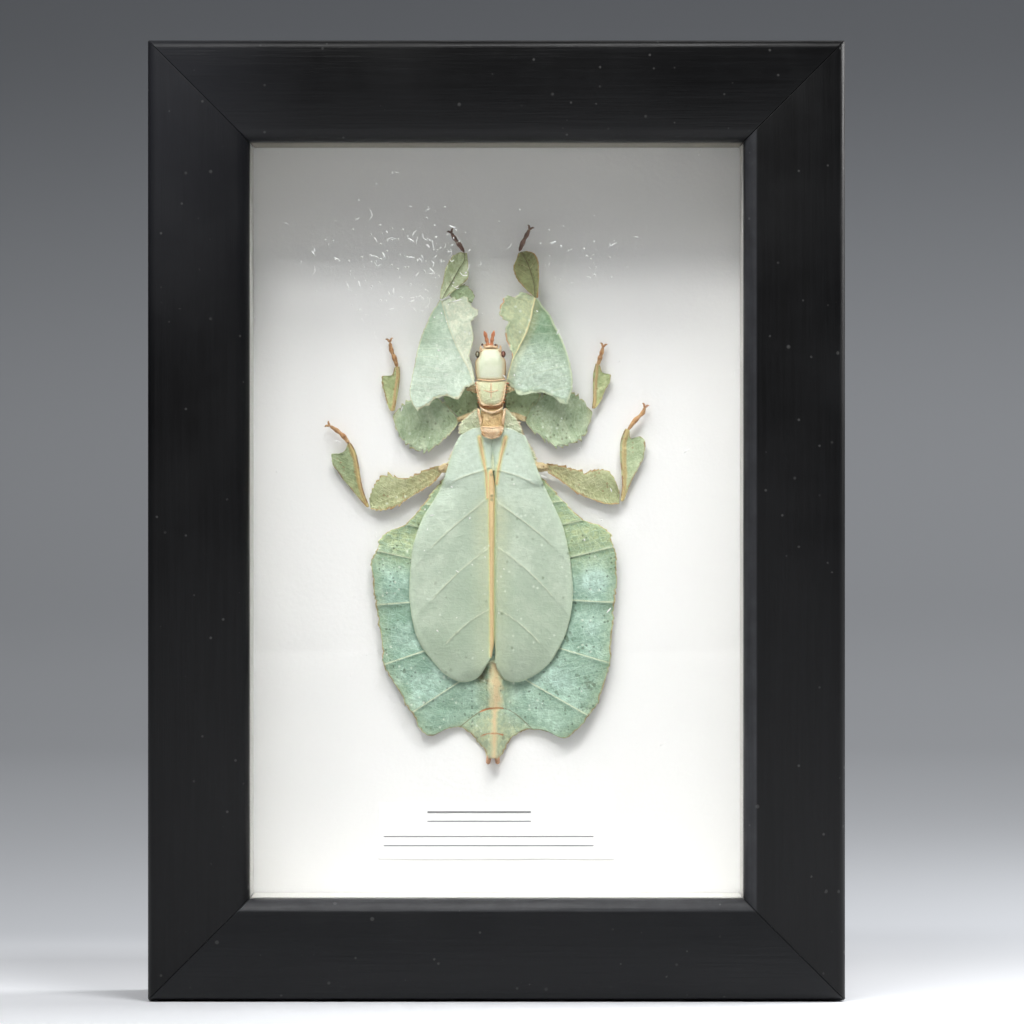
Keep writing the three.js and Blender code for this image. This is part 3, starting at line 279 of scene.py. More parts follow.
tissues = {
    "foreLegLeft": {
        "base": (164, 194, 164), "pale": (210, 230, 206), "deep": (140, 174, 140), "patch": 2.8,
        "tones": [
            ("inner", -0.45, -0.9, (140, 170, 126), 0.6), ("along", 0.5, 0.15, (236, 248, 234), 0.85),
            ("rib", 6.0, 1.0, (228, 242, 224), 0.45), ("inner", 0.0, 0.12, (248, 250, 226), 0.9),
            ("along", 0.82, 1.0, (184, 194, 148), 0.6),
        ],
        "nerve": (2.6, (232, 240, 216), 0.5),
        "fibres": 0.15, "net": 0.2, "fine": 0.25, "grit": 0.2, "bump": 0.3,
        "lines": [("rim", 0.3, (232, 238, 204), 0.8), ("rib", 0.2, cream, 0.5)],
        "burn": (0.22, (150, 122, 72), 0.4), "specks": [(0.9, 0.15, paleSpeck, 0.7)],
    },
    "foreLegRight": {
        "base": (128, 162, 128), "pale": (184, 210, 180), "deep": (108, 140, 104), "patch": 2.8,
        "tones": [
            ("along", 0.45, 0.85, (146, 168, 118), 0.6), ("inner", -0.55, -0.9, (136, 166, 122), 0.6),
            ("along", 0.45, 0.1, (230, 244, 230), 0.85), ("rib", 2.2, 0.5, (206, 204, 158), 0.55),
            ("inner", 0.0, 0.1, (226, 230, 186), 0.85),
        ],
        "nerve": (2.6, (222, 232, 200), 0.5),
        "fibres": 0.15, "net": 0.2, "fine": 0.3, "grit": 0.22, "bump": 0.3,
        "lines": [
            ("rim", 0.95, (134, 164, 120), 0.4), ("rim", 0.5, (222, 232, 200), 0.75),
            ("rib", 0.28, (246, 240, 190), 0.95),
        ],
        "burn": (0.45, (216, 150, 98), 0.75), "burnWhere": ("inner", 0.0, 0.1),
        "specks": [(0.9, 0.15, paleSpeck, 0.7)],
    },
    "foreTibiaLeft": {
        "base": (182, 194, 156), "pale": (212, 222, 188), "deep": (150, 164, 118), "patch": 2.0,
        "tones": [("inner", 0.1, 0.6, (196, 208, 170), 0.5), ("along", 0.75, 1.0, (134, 126, 84), 0.6)],
        "nerve": (1.6, (212, 220, 184), 0.6),
        "lines": [("rim", 0.24, (212, 210, 160), 0.6), ("rib", 0.13, (92, 92, 58), 0.75)],
        "burn": (0.25, (140, 104, 64), 0.5), "specks": [(0.7, 0.2, (110, 90, 56), 0.45)],
    },
    "foreTibiaRight": {
        "base": (146, 152, 102), "pale": (176, 184, 134), "deep": (104, 108, 64), "patch": 2.0,
        "tones": [("along", 0.3, 0.75, (98, 98, 60), 0.85), ("inner", 0.3, 0.9, (166, 166, 112), 0.5)],
        "nerve": (1.6, (196, 196, 148), 0.5),
        "lines": [("rim", 0.24, (198, 184, 122), 0.7), ("rib", 0.13, (84, 74, 46), 0.8)],
        "burn": (0.4, (170, 112, 66), 0.7), "specks": [(0.7, 0.25, (96, 70, 42), 0.5)],
    },
    "midLeg": {
        "base": (170, 190, 156), "pale": (208, 222, 192), "deep": (142, 162, 124), "patch": 2.4,
        "tones": [
            # darker towards the root: painted shade under the fore femur
            ("along", 0.35, 0.05, (132, 150, 108), 0.6), ("inner", -0.3, -0.9, (196, 214, 180), 0.6),
            ("along", 0.85, 1.0, (196, 190, 138), 0.6),
        ],
        "nerve": (2.0, (206, 216, 180), 0.45), "fibres": 0.35,
        "lines": [("rim", 0.24, (214, 218, 170), 0.75)],
        "burn": (0.3, (164, 128, 84), 0.55),
        "specks": [(0.8, 0.25, darkSpeck, 0.45), (0.9, 0.15, paleSpeck, 0.5)],
    },
    "midTibia": {
        "base": (180, 192, 138), "pale": (212, 220, 170), "deep": (142, 158, 108), "patch": 1.6,
        "tones": [("along", 0.35, 0.0, (212, 202, 130), 0.7)],
        "lines": [("rib", 0.45, (208, 172, 124), 0.75), ("rim", 0.2, (206, 200, 140), 0.6)],
        "burn": (0.35, brown, 0.7), "specks": [(0.7, 0.25, brown, 0.5)],
    },
    "coxaLobe": {
        "base": (182, 202, 162), "pale": (202, 220, 182), "deep": (156, 176, 132), "patch": 2.0,
        "lines": [("rim", 0.16, (150, 124, 84), 0.7)],
        "specks": [(0.8, 0.25, (104, 100, 66), 0.45), (0.7, 0.15, (206, 222, 184), 0.5)],
    },
    "hindLeg": {
        "base": (180, 184, 138), "pale": (208, 212, 168), "deep": (148, 152, 106), "patch": 2.6,
        "tones": [("along", 0.6, 0.1, (182, 164, 116), 0.65), ("along", 0.6, 0.9, (184, 198, 152), 0.6)],
        "nerve": (2.2, (212, 212, 164), 0.4), "fibres": 0.4,
        "lines": [("rim", 0.25, (212, 192, 130), 0.65)],
        "burn": (0.4, (160, 112, 68), 0.7),
        "specks": [(0.8, 0.3, brown, 0.4), (0.9, 0.15, paleSpeck, 0.4)],
    },
    "hindTibiaLeft": {
        "base": (146, 162, 120), "pale": (184, 198, 156), "deep": (116, 132, 92), "patch": 2.0,
        "tones": [("along", 0.35, 0.0, (196, 186, 126), 0.7)],
        "nerve": (1.7, (206, 216, 174), 0.6),
        "lines": [("rib", 0.7, (204, 178, 120), 0.85), ("rim", 0.2, (206, 206, 156), 0.6)],
        "burn": (0.4, (140, 88, 60), 0.75), "specks": [(0.7, 0.3, brown, 0.5)],
    },
    "hindTibiaRight": {
        "base": (184, 202, 160), "pale": (214, 228, 190), "deep": (156, 174, 130), "patch": 2.0,
        "tones": [("along", 0.35, 0.0, (206, 198, 140), 0.7)],
        "nerve": (1.7, (216, 226, 186), 0.6),
        "lines": [("rib", 0.7, (212, 188, 132), 0.85), ("rim", 0.2, (216, 216, 168), 0.6)],
        "burn": (0.4, (150, 98, 68), 0.7), "specks": [(0.7, 0.3, brown, 0.4)],
    },
    "wing": {
        "base": (188, 204, 184), "pale": (210, 223, 204), "deep": (170, 188, 166), "patch": 5.0,
        "tones": [
            # behind darkens the wing just below each vein: painted shade
            ("along", 0.45, 0.08, (220, 236, 222), 0.8), ("behind", 0.0, 1.0, (158, 174, 154), 0.4),
            ("middle", 5.0, 0.5, (214, 216, 174), 0.6), ("along", 0.42, 0.75, (158, 177, 150), 0.5),
            ("rim", 2.2, 0.0, (198, 216, 192), 0.45),
        ],
        "lines": [
            ("vein", 0.19, (228, 236, 210), 0.6), ("rim", 0.2, (208, 222, 184), 0.5),
            ("ridge", 0.5, (206, 212, 156), 0.7), ("ridge", 0.22, (226, 216, 158), 0.9),
            ("ridge", 0.02, (228, 196, 150), 0.85),
        ],
        "specks": [(1.0, 0.05, (112, 130, 98), 0.5), (0.8, 0.08, paleSpeck, 0.5)],
        "net": 0.05, "fine": 0.25, "grit": 0.15, "fibres": 0.12, "gloss": 0.4, "bump": 0.2,
    },
    "abdomen": {
        "base": (152, 188, 168), "pale": (206, 236, 220), "deep": (122, 156, 132), "patch": 4.2,
        "tones": [
            ("inner", 0.3, 0.9, (184, 214, 192), 0.45), ("along", 0.4, 0.22, (202, 212, 154), 0.85),
            # behind darkens the abdomen just below each ring line: painted shade
            ("rim", 3.0, 0.0, (172, 186, 136), 0.5), ("behind", 0.0, 1.0, (108, 138, 110), 0.5),
            ("along", 0.6, 0.8, (158, 180, 150), 0.4), ("glow", 0.15, 0.9, (214, 242, 232), 0.75),
            ("tube", 5.0, 0.8, (200, 207, 164), 0.6),
            ("along", 0.78, 0.88, (218, 220, 174), 0.8), ("along", 0.97, 1.0, (216, 172, 132), 0.8),
            # crevice: a brown stain with two dark spots below the wing tips, partly painted shade in that
            # crevice
            ("crevice", 0.0, 1.0, (128, 98, 52), 0.9), ("blotch", 0.25, 0.7, (82, 98, 66), 0.75),
        ],
        "nerve": (1.9, (200, 224, 200), 0.3), "net": 0.14,
        "lines": [
            ("tube", 1.8, (228, 212, 166), 0.7), ("tube", 0.8, (236, 204, 156), 0.55),
            ("vein", 0.14, (228, 236, 206), 0.75), ("arc", 0.16, (118, 108, 68), 0.75),
            ("arcMiddle", 0.24, (198, 122, 62), 0.9), ("rim", 0.26, (214, 208, 150), 0.75),
        ],
        "burn": (0.45, (164, 118, 66), 0.6),
        "specks": [
            (0.7, 0.22, (62, 80, 56), 0.6), (1.3, 0.06, (84, 106, 74), 0.5),
            (0.8, 0.1, paleSpeck, 0.6),
        ],
        "fibres": 0.15, "fine": 0.4, "bump": 0.4,
    },
    "flank": {
        "base": (214, 224, 190), "pale": (232, 238, 210), "deep": (192, 202, 160), "patch": 1.8,
        "lines": [("rim", 0.22, (232, 216, 172), 0.7)], "burn": (0.35, (200, 152, 108), 0.5),
        "specks": [(0.8, 0.25, brown, 0.3), (0.7, 0.2, paleSpeck, 0.5)],
    },
    "head": {
        "base": (232, 239, 212), "pale": (242, 246, 224), "deep": (224, 230, 196), "patch": 2.4,
        "tones": [("rim", 1.0, 0.3, (236, 208, 160), 0.8)],
        "lines": [("rim", 0.3, (220, 172, 124), 0.7)], "specks": [(0.8, 0.1, (196, 150, 104), 0.5)],
        "net": 0.04, "bump": 0.2, "grit": 0.2, "fine": 0.25,
    },
    "pronotum": {
        "base": (230, 233, 196), "pale": (243, 243, 214), "deep": (208, 213, 166), "patch": 1.2,
        "tones": [("rim", 0.9, 0.3, (240, 218, 174), 0.7)],
        "specks": [(0.7, 0.2, (170, 122, 76), 0.5)], "net": 0.2,
    },
    "mesonotum": {
        "base": (216, 190, 138), "pale": (236, 212, 164), "deep": (184, 152, 102), "patch": 1.2,
        "tones": [("rim", 0.8, 0.2, (216, 180, 130), 0.5)], "specks": [(0.7, 0.25, brown, 0.5)], "net": 0.1,
    },
    "neck": {
        "base": (206, 158, 108), "pale": (228, 190, 144), "deep": (170, 118, 76), "patch": 1.0,
        "specks": [(0.6, 0.3, (110, 64, 40), 0.5)], "net": 0.05,
    },
    "peachRidge": {
        "base": (238, 208, 168), "pale": (248, 230, 196), "deep": (216, 170, 128), "patch": 0.9,
        "specks": [(0.6, 0.25, (176, 112, 76), 0.5)], "net": 0.03,
    },
    "coxa": {
        "base": (214, 196, 150), "pale": (232, 220, 180), "deep": (170, 142, 98), "patch": 1.0,
        "specks": [(0.7, 0.4, (112, 72, 44), 0.7)],
    },
    "tarsusDark": {
        "base": (108, 78, 66), "pale": (150, 114, 96), "deep": (70, 48, 42), "patch": 0.9,
        "specks": [(0.6, 0.3, (50, 34, 30), 0.6), (0.6, 0.15, (226, 216, 206), 0.6)],
    },
    "tarsusWarm": {
        "base": (194, 144, 96), "pale": (226, 188, 138), "deep": (140, 90, 56), "patch": 0.8,
        "specks": [(0.6, 0.4, (96, 56, 36), 0.7)],
    },
    "antenna": {
        "base": (216, 138, 98), "pale": (232, 170, 124), "deep": (182, 100, 68), "patch": 0.8,
        "specks": [(0.6, 0.25, (150, 78, 50), 0.6)],
    },
    "cercus": {
        "base": (200, 152, 114), "pale": (226, 184, 146), "deep": (150, 98, 68), "patch": 0.8,
        "specks": [(0.6, 0.3, (104, 62, 44), 0.6)],
    },
}
materials = {name: makeTissue(name, look) for name, look in tissues.items()}


def makePlain(name, colour, roughness, metallic=0.0, grain=0.4, size=0.5, strength=0.2):
    # an even finish with a little cloud and grain
    material, tree, shader = newMaterial(name)
    clouds = maskFrom(tree, mottle, {"Size": 30.0, "Contrast": 0.25})
    darker = tuple(part * (1 - 0.25 * grain) for part in colour[:3]) + (1.0,)
    tree.links.new(mixColour(tree, clouds, colour, darker), shader.inputs["Base Color"])
    shader.inputs["Metallic"].default_value = metallic
    fine = maskFrom(tree, mottle, {"Size": size, "Contrast": 0.3})
    bump = addNode(tree, "Bump", {"Height": fine, "Strength": strength, "Distance": 0.0001})
    tree.links.new(bump.outputs[0], shader.inputs["Normal"])
    tree.links.new(fade(tree, fine, 0, 1, roughness, roughness + 0.1), shader.inputs["Roughness"])
    return material


def makePaint(name, scaleX, scaleZ, foot, lip):
    # satin black moulding with faint lengthwise grain, dust and a few rubbed spots, a painted highlight
    # along the inner lip, and painted reflections low down and at the upper left; foot is the tone of the
    # painted floor reflection low down, and lip holds the axis, start and end of the lip's painted
    # highlight, in metres, and its tone
    material, tree, shader = newMaterial(name)
    clouds = maskFrom(tree, mottle, {"Size": 22.0, "Contrast": 0.3})
    place = addNode(tree, "SeparateXYZ", {0: addNode(tree, "TexCoord").outputs["Object"]}).outputs
    # painted reflection of the floor: the foot tone low down, fading to near black higher up
    tone = mixColour(tree, fade(tree, place[2], 0.02, 0.1), foot, tint(5, 5, 6))
    # painted highlight along the inner lip, where its cove faces the light, broken up by soft patches
    axis, start, end, shade = lip
    lipHighlight = calc(tree, "MULTIPLY", fade(tree, place[axis], start, start + 0.0005),
                  fade(tree, place[axis], end, end - 0.0005))
    highlightMottle = maskFrom(tree, mottle, {"Size": 5.0, "Contrast": 0.3})
    lipHighlight = calc(tree, "MULTIPLY", lipHighlight, fade(tree, highlightMottle, 0, 1, 0.7, 1.0))
    tone = mixColour(tree, lipHighlight, tone, shade)
    tone = mixColour(tree, calc(tree, "MULTIPLY", clouds, 0.25), tone, tint(26, 27, 29))
    # painted reflection, lighter towards the upper left of the frame
    upperLeftReflection = calc(tree, "MULTIPLY", fade(tree, place[0], -0.03, -0.07), fade(tree, place[2], 0.11, 0.18))
    tone = mixColour(tree, calc(tree, "MULTIPLY", upperLeftReflection, 0.6), tone, tint(50, 51, 56))
    streaks = maskFrom(tree, grain, {"ScaleX": scaleX, "ScaleZ": scaleZ})
    tone = mixColour(tree, calc(tree, "MULTIPLY", streaks, 0.3), tone, tint(26, 27, 29))
    for size, amount, share in ((0.8, 0.014, 0.2), (1.2, 0.005, 0.16)):
        dots = maskFrom(tree, specks, {"Size": size, "Amount": amount})
        tone = mixColour(tree, calc(tree, "MULTIPLY", dots, share), tone, tint(140, 140, 138))
    tree.links.new(tone, shader.inputs["Base Color"])
    shader.inputs["Specular IOR Level"].default_value = 0.26
    bump = addNode(tree, "Bump", {"Height": streaks, "Strength": 0.25, "Distance": 0.00012})
    tree.links.new(bump.outputs[0], shader.inputs["Normal"])
    tree.links.new(fade(tree, clouds, 0, 1, 0.38, 0.5), shader.inputs["Roughness"])
    return material


def makeGlass():
    material, tree, shader = newMaterial("glassPane")
    shader.inputs["Base Color"].default_value = (0.99, 0.99, 0.985, 1)
    shader.inputs["Roughness"].default_value = 0.02
    shader.inputs["IOR"].default_value = 1.45
    shader.inputs["Transmission Weight"].default_value = 1.0
    clear = addNode(tree, "BsdfTransparent", {"Color": (0.98, 0.98, 0.975, 1)})
    shadowRay = addNode(tree, "LightPath").outputs["Is Shadow Ray"]
    blend = addNode(tree, "MixShader", {0: shadowRay, 1: shader.outputs[0], 2: clear.outputs[0]})
    tree.links.new(blend.outputs[0], tree.nodes["Material Output"].inputs["Surface"])
    return material


def makeEye(name, low, high, top):
    # dark glossy bead with a paler patch on top
    material, tree, shader = newMaterial(name)
    facing = addNode(tree, "SeparateXYZ", {0: addNode(tree, "TexCoord").outputs["Normal"]}).outputs[1]
    cap = fade(tree, facing, -0.86, -0.97)
    clouds = maskFrom(tree, mottle, {"Size": 0.6, "Contrast": 0.2})
    dark = mixColour(tree, clouds, low, high)
    tree.links.new(mixColour(tree, cap, dark, top), shader.inputs["Base Color"])
    shader.inputs["Roughness"].default_value = 0.25
    return material


plainFinishes = {
    "spacerCard": {"colour": tint(214, 213, 209), "roughness": 0.75, "grain": 0.1},
    # a darker copy of the spacer card: painted shade for the top spacer under the top rail
    "paintedShadeCard": {"colour": tint(146, 142, 132), "roughness": 0.8},
    "boardCard": {"colour": tint(250, 250, 249), "roughness": 0.85, "grain": 0.04, "size": 0.9},
    "labelPaper": {"colour": tint(255, 255, 255), "roughness": 0.8, "grain": 0.03, "size": 0.7},
    "ink": {"colour": tint(120, 120, 122), "roughness": 0.7, "grain": 0.3},
    "fibreboard": {
        "colour": tint(128, 96, 64), "roughness": 0.8, "grain": 0.6, "size": 0.8, "strength": 0.5,
    },
    "zincSteel": {"colour": tint(196, 196, 194), "roughness": 0.35, "metallic": 1.0},
    "dust": {"colour": tint(255, 255, 252), "roughness": 0.8, "grain": 0.1},
}
# each paint: grain scales, the painted floor reflection's tone low down, and the lip's painted highlight
# (axis, start, end, tone)
paints = {
    "paintAcross": (14.0, 420.0, tint(28, 29, 31), (2, 0.017, 0.0198, tint(66, 67, 70))),
    "paintUpright": (420.0, 14.0, tint(7, 7, 8), (0, 0.0478, 0.0505, tint(62, 63, 66))),
}
eyeTints = {
    "leftEye": (tint(66, 60, 48), tint(104, 94, 74), tint(190, 190, 164)),
    "rightEye": (tint(88, 56, 50), tint(136, 92, 80), tint(176, 128, 110)),
}
for name, settings in paints.items():
    materials[name] = makePaint(name, *settings)
materials["glassPane"] = makeGlass()
for name, settings in eyeTints.items():
    materials[name] = makeEye(name, *settings)
for name, settings in plainFinishes.items():
    materials[name] = makePlain(name, **settings)
print("materials ready")


# Pieces

def finishPiece(bm, name, nodes, material, place=onBoard):
    for vert in bm.verts:
        vert.co = place(vert.co)
    bmesh.ops.recalc_face_normals(bm, faces=bm.faces)
    mesh = bpy.data.meshes.new(name)
    bm.to_mesh(mesh)
    bm.free()
    mesh.shade_smooth()
    mesh.materials.append(materials[material])
    piece = bpy.data.objects.new(name, mesh)
    scene.collection.objects.link(piece)
    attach(piece, "root")
    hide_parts(*nodes)
    return piece


def curvePoint(points, t):
    # centripetal spline that passes point k at t = k, and runs straight on past its ends
    last = len(points) - 1
    if t < 0:
        return points[0] + (points[0] - points[1]) * -t
    if t > last:
        return points[last] + (points[last] - points[last - 1]) * (t - last)
    k = min(int(t), last - 1)
    p1, p2 = points[k], points[k + 1]
    p0 = points[k - 1] if k > 0 else 2 * p1 - p2
    p3 = points[k + 2] if k + 2 <= last else 2 * p2 - p1
    gaps = [max(math.sqrt((b - a).length), 1e-4) for a, b in ((p0, p1), (p1, p2), (p2, p3))]
    t0, t1 = 0.0, gaps[0]
    t2 = t1 + gaps[1]
    t3 = t2 + gaps[2]
    u = t1 + (t - k) * gaps[1]
    a1 = p0.lerp(p1, (u - t0) / (t1 - t0))
    a2 = p1.lerp(p2, (u - t1) / (t2 - t1))
    a3 = p2.lerp(p3, (u - t2) / (t3 - t2))
    b1 = a1.lerp(a2, (u - t0) / (t2 - t0))
    b2 = a2.lerp(a3, (u - t1) / (t3 - t1))
    return b1.lerp(b2, (u - t1) / (t2 - t1))


def bell(value, width):
    return math.exp(-((value / width) ** 2))


def smooth(low, high, value):
    share = min(max((value - low) / (high - low), 0.0), 1.0)
    return share * share * (3 - 2 * share)


def wave(x, y, size, seed=0.0):
    return noise.noise(Vector((x / size, y / size, seed)))


def toLine(x, y, points):
    # distance from a spot to a bent line
    spot = Vector((x, y))
    best = 99.0
    for start, end in zip(points, points[1:]):
        run = Vector(end) - Vector(start)
        share = min(max((spot - Vector(start)).dot(run) / run.length_squared, 0), 1)
        best = min(best, (spot - Vector(start) - run * share).length)
    return best


# marks that the finishes read at each vertex, with what a plain piece gets:
# distances in mm, places as shares of the lobe's length or width
plainMarks = {
    "rim": 9.0, "rib": 9.0, "vein": 9.0, "ridge": 9.0, "middle": 9.0, "tube": 9.0, "arc": 9.0,
    "arcMiddle": 9.0, "flow": 0.0, "inner": 0.0, "along": 0.5, "behind": 0.0, "crevice": 0.0, "glow": 0.0,
    "blotch": 0.0,
}

# what a lobe has where its own dictionary says nothing else, lengths in mm:
# points of its grid, teeth and waves of its edge, ribs and veins, folds of its face
plainLobe = {
    "across": 52, "along": 120, "seed": 1.0, "innerSide": 1, "overlap": (0.06, 0.06),
    "teeth": 0.25, "pitch": 1.1, "wander": 0.3, "scallops": [(0, 1), (0, 1)],
    "ribRise": 0.3, "veins": [], "veinRise": 0.14, "veinHalf": 0.2, "step": 0.0, "bow": 0.0, "fadeOut": 0.0,
    "slant": 0.8, "ripple": 0.16, "rippleSize": 3.2,
}


def markPlain(bm):
    for name, value in plainMarks.items():
        layer = bm.verts.layers.float.get(name) or bm.verts.layers.float.new(name)
        for vert in bm.verts:
            vert[layer] = value


def leafLevels(shape):
    # at each level of a lobe, the point and the length run so far of its left edge, rib and right edge
    rows = [[Vector((x, y, 0)) for x, y in row] for row in shape["rows"]]
    rails = dict(zip(("left", "rib", "right"), zip(*rows)))
    before, after = shape["overlap"]
    levels = []
    for i in range(shape["along"] + 1):
        t = -before + i / shape["along"] * (len(rows) - 1 + before + after)
        level = {"t": t}
        for name, points in rails.items():
            spot = curvePoint(points, t)
            run = 0.0
            if levels:
                run = levels[-1][name][1] + (spot - levels[-1][name][0]).length
            level[name] = (spot, run)
        levels.append(level)
    return levels


def veinMarks(shape, t, column, s):
    # distance to the nearest main vein, and how close behind one the spot lies
    rows = [[Vector(point) for point in row] for row in shape["rows"]]
    toVein, behind = 20.0, 0.0
    for row in shape["veins"]:
        reach = (rows[row][1] - rows[row - 1][1]).length
        fall = (rows[row][column] - rows[row - 1][column]).length
        gap = (t - row + shape["bow"] * 4 * s * (1 - s)) * (reach * (1 - s) + fall * s) * 0.8
        toVein = min(toVein, abs(gap) + shape["fadeOut"] * smooth(0.72, 0.95, s))
        if gap > 0:
            behind = max(behind, math.exp(-gap / 1.8))
    return toVein, behind


def makeLeaf(shape):
    # a lobe over a grid: rows of left edge, rib and right edge run from its root to its tip
    shape = {**plainLobe, **shape}
    along, seed = shape["along"], shape["seed"]
    levels = leafLevels(shape)
    last = len(shape["rows"]) - 1
    bm = bmesh.new()
    layers = {name: bm.verts.layers.float.new(name) for name in plainMarks}
    bmesh.ops.create_grid(bm, x_segments=shape["across"], y_segments=along, size=0.5)
    for vert in bm.verts:
        c = 2 * vert.co.x
        level = levels[round((vert.co.y + 0.5) * along)]
        t, (rail, ribRun) = level["t"], level["rib"]
        side, sideRun = level["left" if c < 0 else "right"]
        share = abs(c)
        s = 0.35 * share + 0.65 * (3 * share**2 - 2 * share**3)
        width = max((side - rail).length, 1e-3)
        outward = (side - rail) / width
        saw = (sideRun / shape["pitch"] + wave(sideRun, seed, 3.0)) % 1.0
        bite = shape["teeth"] * (saw - 0.3) * (0.8 + 1.4 * wave(sideRun, seed + 7, 1.9))
        bite += shape["wander"] * wave(sideRun, seed, 2.3)
        reach, size = shape["scallops"][0 if c < 0 else 1]
        scallop = abs(math.sin(math.pi * sideRun / size + 2 * wave(sideRun, seed, 4.0))) - 0.5
        bite += reach * scallop * smooth(0.4, 0.5, t / last)
        point = rail.lerp(side, s) + outward * bite * s**6 * smooth(0, 3, width)
        toRim = (1 - s) * width
        if "hem" in shape and t < 1:
            back = (levels[0]["rib"][0] - levels[along // 8]["rib"][0]).normalized()
            rough = 0.5 * wave(point.x, point.y, 0.6, seed)
            point += back * (shape["hem"](s) + rough) * (1 - max(t, 0))
            toRim = min(toRim, max(t, 0) * 2.6)
        signed = math.copysign(s, c)
        toVein, behind = veinMarks(shape, t, 0 if c < 0 else 2, s)
        marks = {
            **plainMarks, "rim": toRim, "rib": s * width, "vein": toVein, "behind": behind,
            "along": t / last,
            "inner": signed * shape["innerSide"],
            "flow": ribRun * (1 - s) + sideRun * s - shape["slant"] * s * width,
        }
        if "remark" in shape:
            marks.update(shape["remark"](point.x, point.y))
        for name, value in marks.items():
            vert[layers[name]] = value
        z = shape["lift"](point.x, point.y, signed, t / last)
        z += shape["ribRise"] * bell(marks["rib"], 0.28)
        z += shape["veinRise"] * bell(toVein, shape["veinHalf"]) - shape["step"] * behind
        z += 0.3 * smooth(0.15, -0.3, marks["ridge"])
        z += shape["ripple"] * wave(point.x, point.y, shape["rippleSize"], seed)
        z += 0.04 * wave(point.x, point.y, 0.7, seed + 5) - 0.12 * smooth(0.5, 0.0, toRim)
        vert.co = Vector((point.x, point.y, z))
    made = bmesh.ops.extrude_face_region(bm, geom=bm.faces[:], use_keep_orig=True)["geom"]
    under = [item for item in made if isinstance(item, bmesh.types.BMVert)]
    bmesh.ops.translate(bm, verts=under, vec=(0, 0, -sheetThickness))
    return bm


def aroundPiece(vert, blunt):
    # a unit sphere drawn out: place from end to end, swelling there, and direction across the piece
    turn = math.acos(max(-1, min(1, vert.co.z))) / math.pi
    ring = math.hypot(vert.co.x, vert.co.y)
    if ring <= 1e-6:
        return turn, 0.0, 0.0, 0.0
    return turn, min(1.0, blunt * math.sin(math.pi * turn)), vert.co.x / ring, vert.co.y / ring


def addTrunk(bm, sections, centre, blunt):
    # a rounded length of body through sections [y, half width, underside, top], closed at both ends
    fullness = 0.8
    made = bmesh.ops.create_uvsphere(bm, u_segments=32, v_segments=48, radius=1)["verts"]
    stations = [Vector((half, low, high)) for _, half, low, high in sections]
    levels = [Vector((y, 0, 0)) for y, *_ in sections]
    for vert in made:
        turn, ease, cosine, sine = aroundPiece(vert, blunt)
        t = turn * (len(sections) - 1)
        half, low, high = curvePoint(stations, t)
        y = curvePoint(levels, t).x
        x = math.copysign(abs(cosine) ** fullness, cosine) * half * ease
        z = (low + high) / 2 + math.copysign(abs(sine) ** fullness, sine) * (high - low) / 2 * ease
        vert.co = Vector((centre + x, y, z))


def addLimb(bm, points, radii, around=12, rings=24, knots=0.0):
    # a tapered round limb along points; knots adds that share of swelling at each point
    made = bmesh.ops.create_uvsphere(bm, u_segments=around, v_segments=rings, radius=1)["verts"]
    path = [Vector(point) for point in points]
    sizes = [Vector((radius, 0, 0)) for radius in radii]
    last = len(path) - 1
    for vert in made:
        turn, ease, cosine, sine = aroundPiece(vert, 2.4)
        t = turn * last
        ahead = (curvePoint(path, min(t + 0.05, last)) - curvePoint(path, max(t - 0.05, 0))).normalized()
        across = ahead.cross(Vector((0, 0, 1))).normalized()
        over = across.cross(ahead)
        size = curvePoint(sizes, t * (len(radii) - 1) / last).x
        radius = size * ease * (1 + knots * math.cos(2 * math.pi * t))
        vert.co = curvePoint(path, t) + across * cosine * radius + over * sine * radius


def slope(start, end, cup=0.35):
    # top of a leg lobe that rises from its root to its tip, with its edges a little higher
    return lambda x, y, s, share: start + (end - start) * share + cup * s * s + 0.5


# Case

case = {
    "width": 134.8, "height": 185.6, "depth": 32.0, "rail": 19.6, "lip": 3.0, "lipDepth": 4.2,
    "bevel": 1.6, "cove": 2.5, "coveDepth": 2.2, "edgeRound": 0.18, "mitreGap": 0.03,
}


# finishes of the solids that are used as they are
solidFinishes = {
    "glass": "glassPane", "backing_board": "boardCard", "back_panel": "fibreboard", "hanger": "zincSteel",
    # the top spacer takes the darker card, painted shade under the top rail
    "spacer_top": "paintedShadeCard", "spacer_bottom": "spacerCard",
    "spacer_left": "spacerCard", "spacer_right": "spacerCard",
    **{f"tab_{i}": "zincSteel" for i in range(1, 7)},
}


def railSection():
    # across the moulding: outer side, bevelled edge, flat face, cove, lip and rebate
    inner = case["rail"] - case["lip"]
    corner = case["rail"] - case["cove"]
    cove = []
    for i in range(1, 8):
        angle = i / 8 * math.pi / 2
        across = corner + case["cove"] * math.sin(angle) ** 1.4
        cove.append((across, case["coveDepth"] * (1 - math.cos(angle))))
    return [
        (0, case["depth"]), (0, case["bevel"]),
        (case["bevel"] * 0.45, case["bevel"] * 0.3), (case["bevel"], 0),
        (corner, 0), *cove, (case["rail"], case["coveDepth"]), (case["rail"], case["lipDepth"]),
        (inner, case["lipDepth"]), (inner, case["depth"]),
    ]


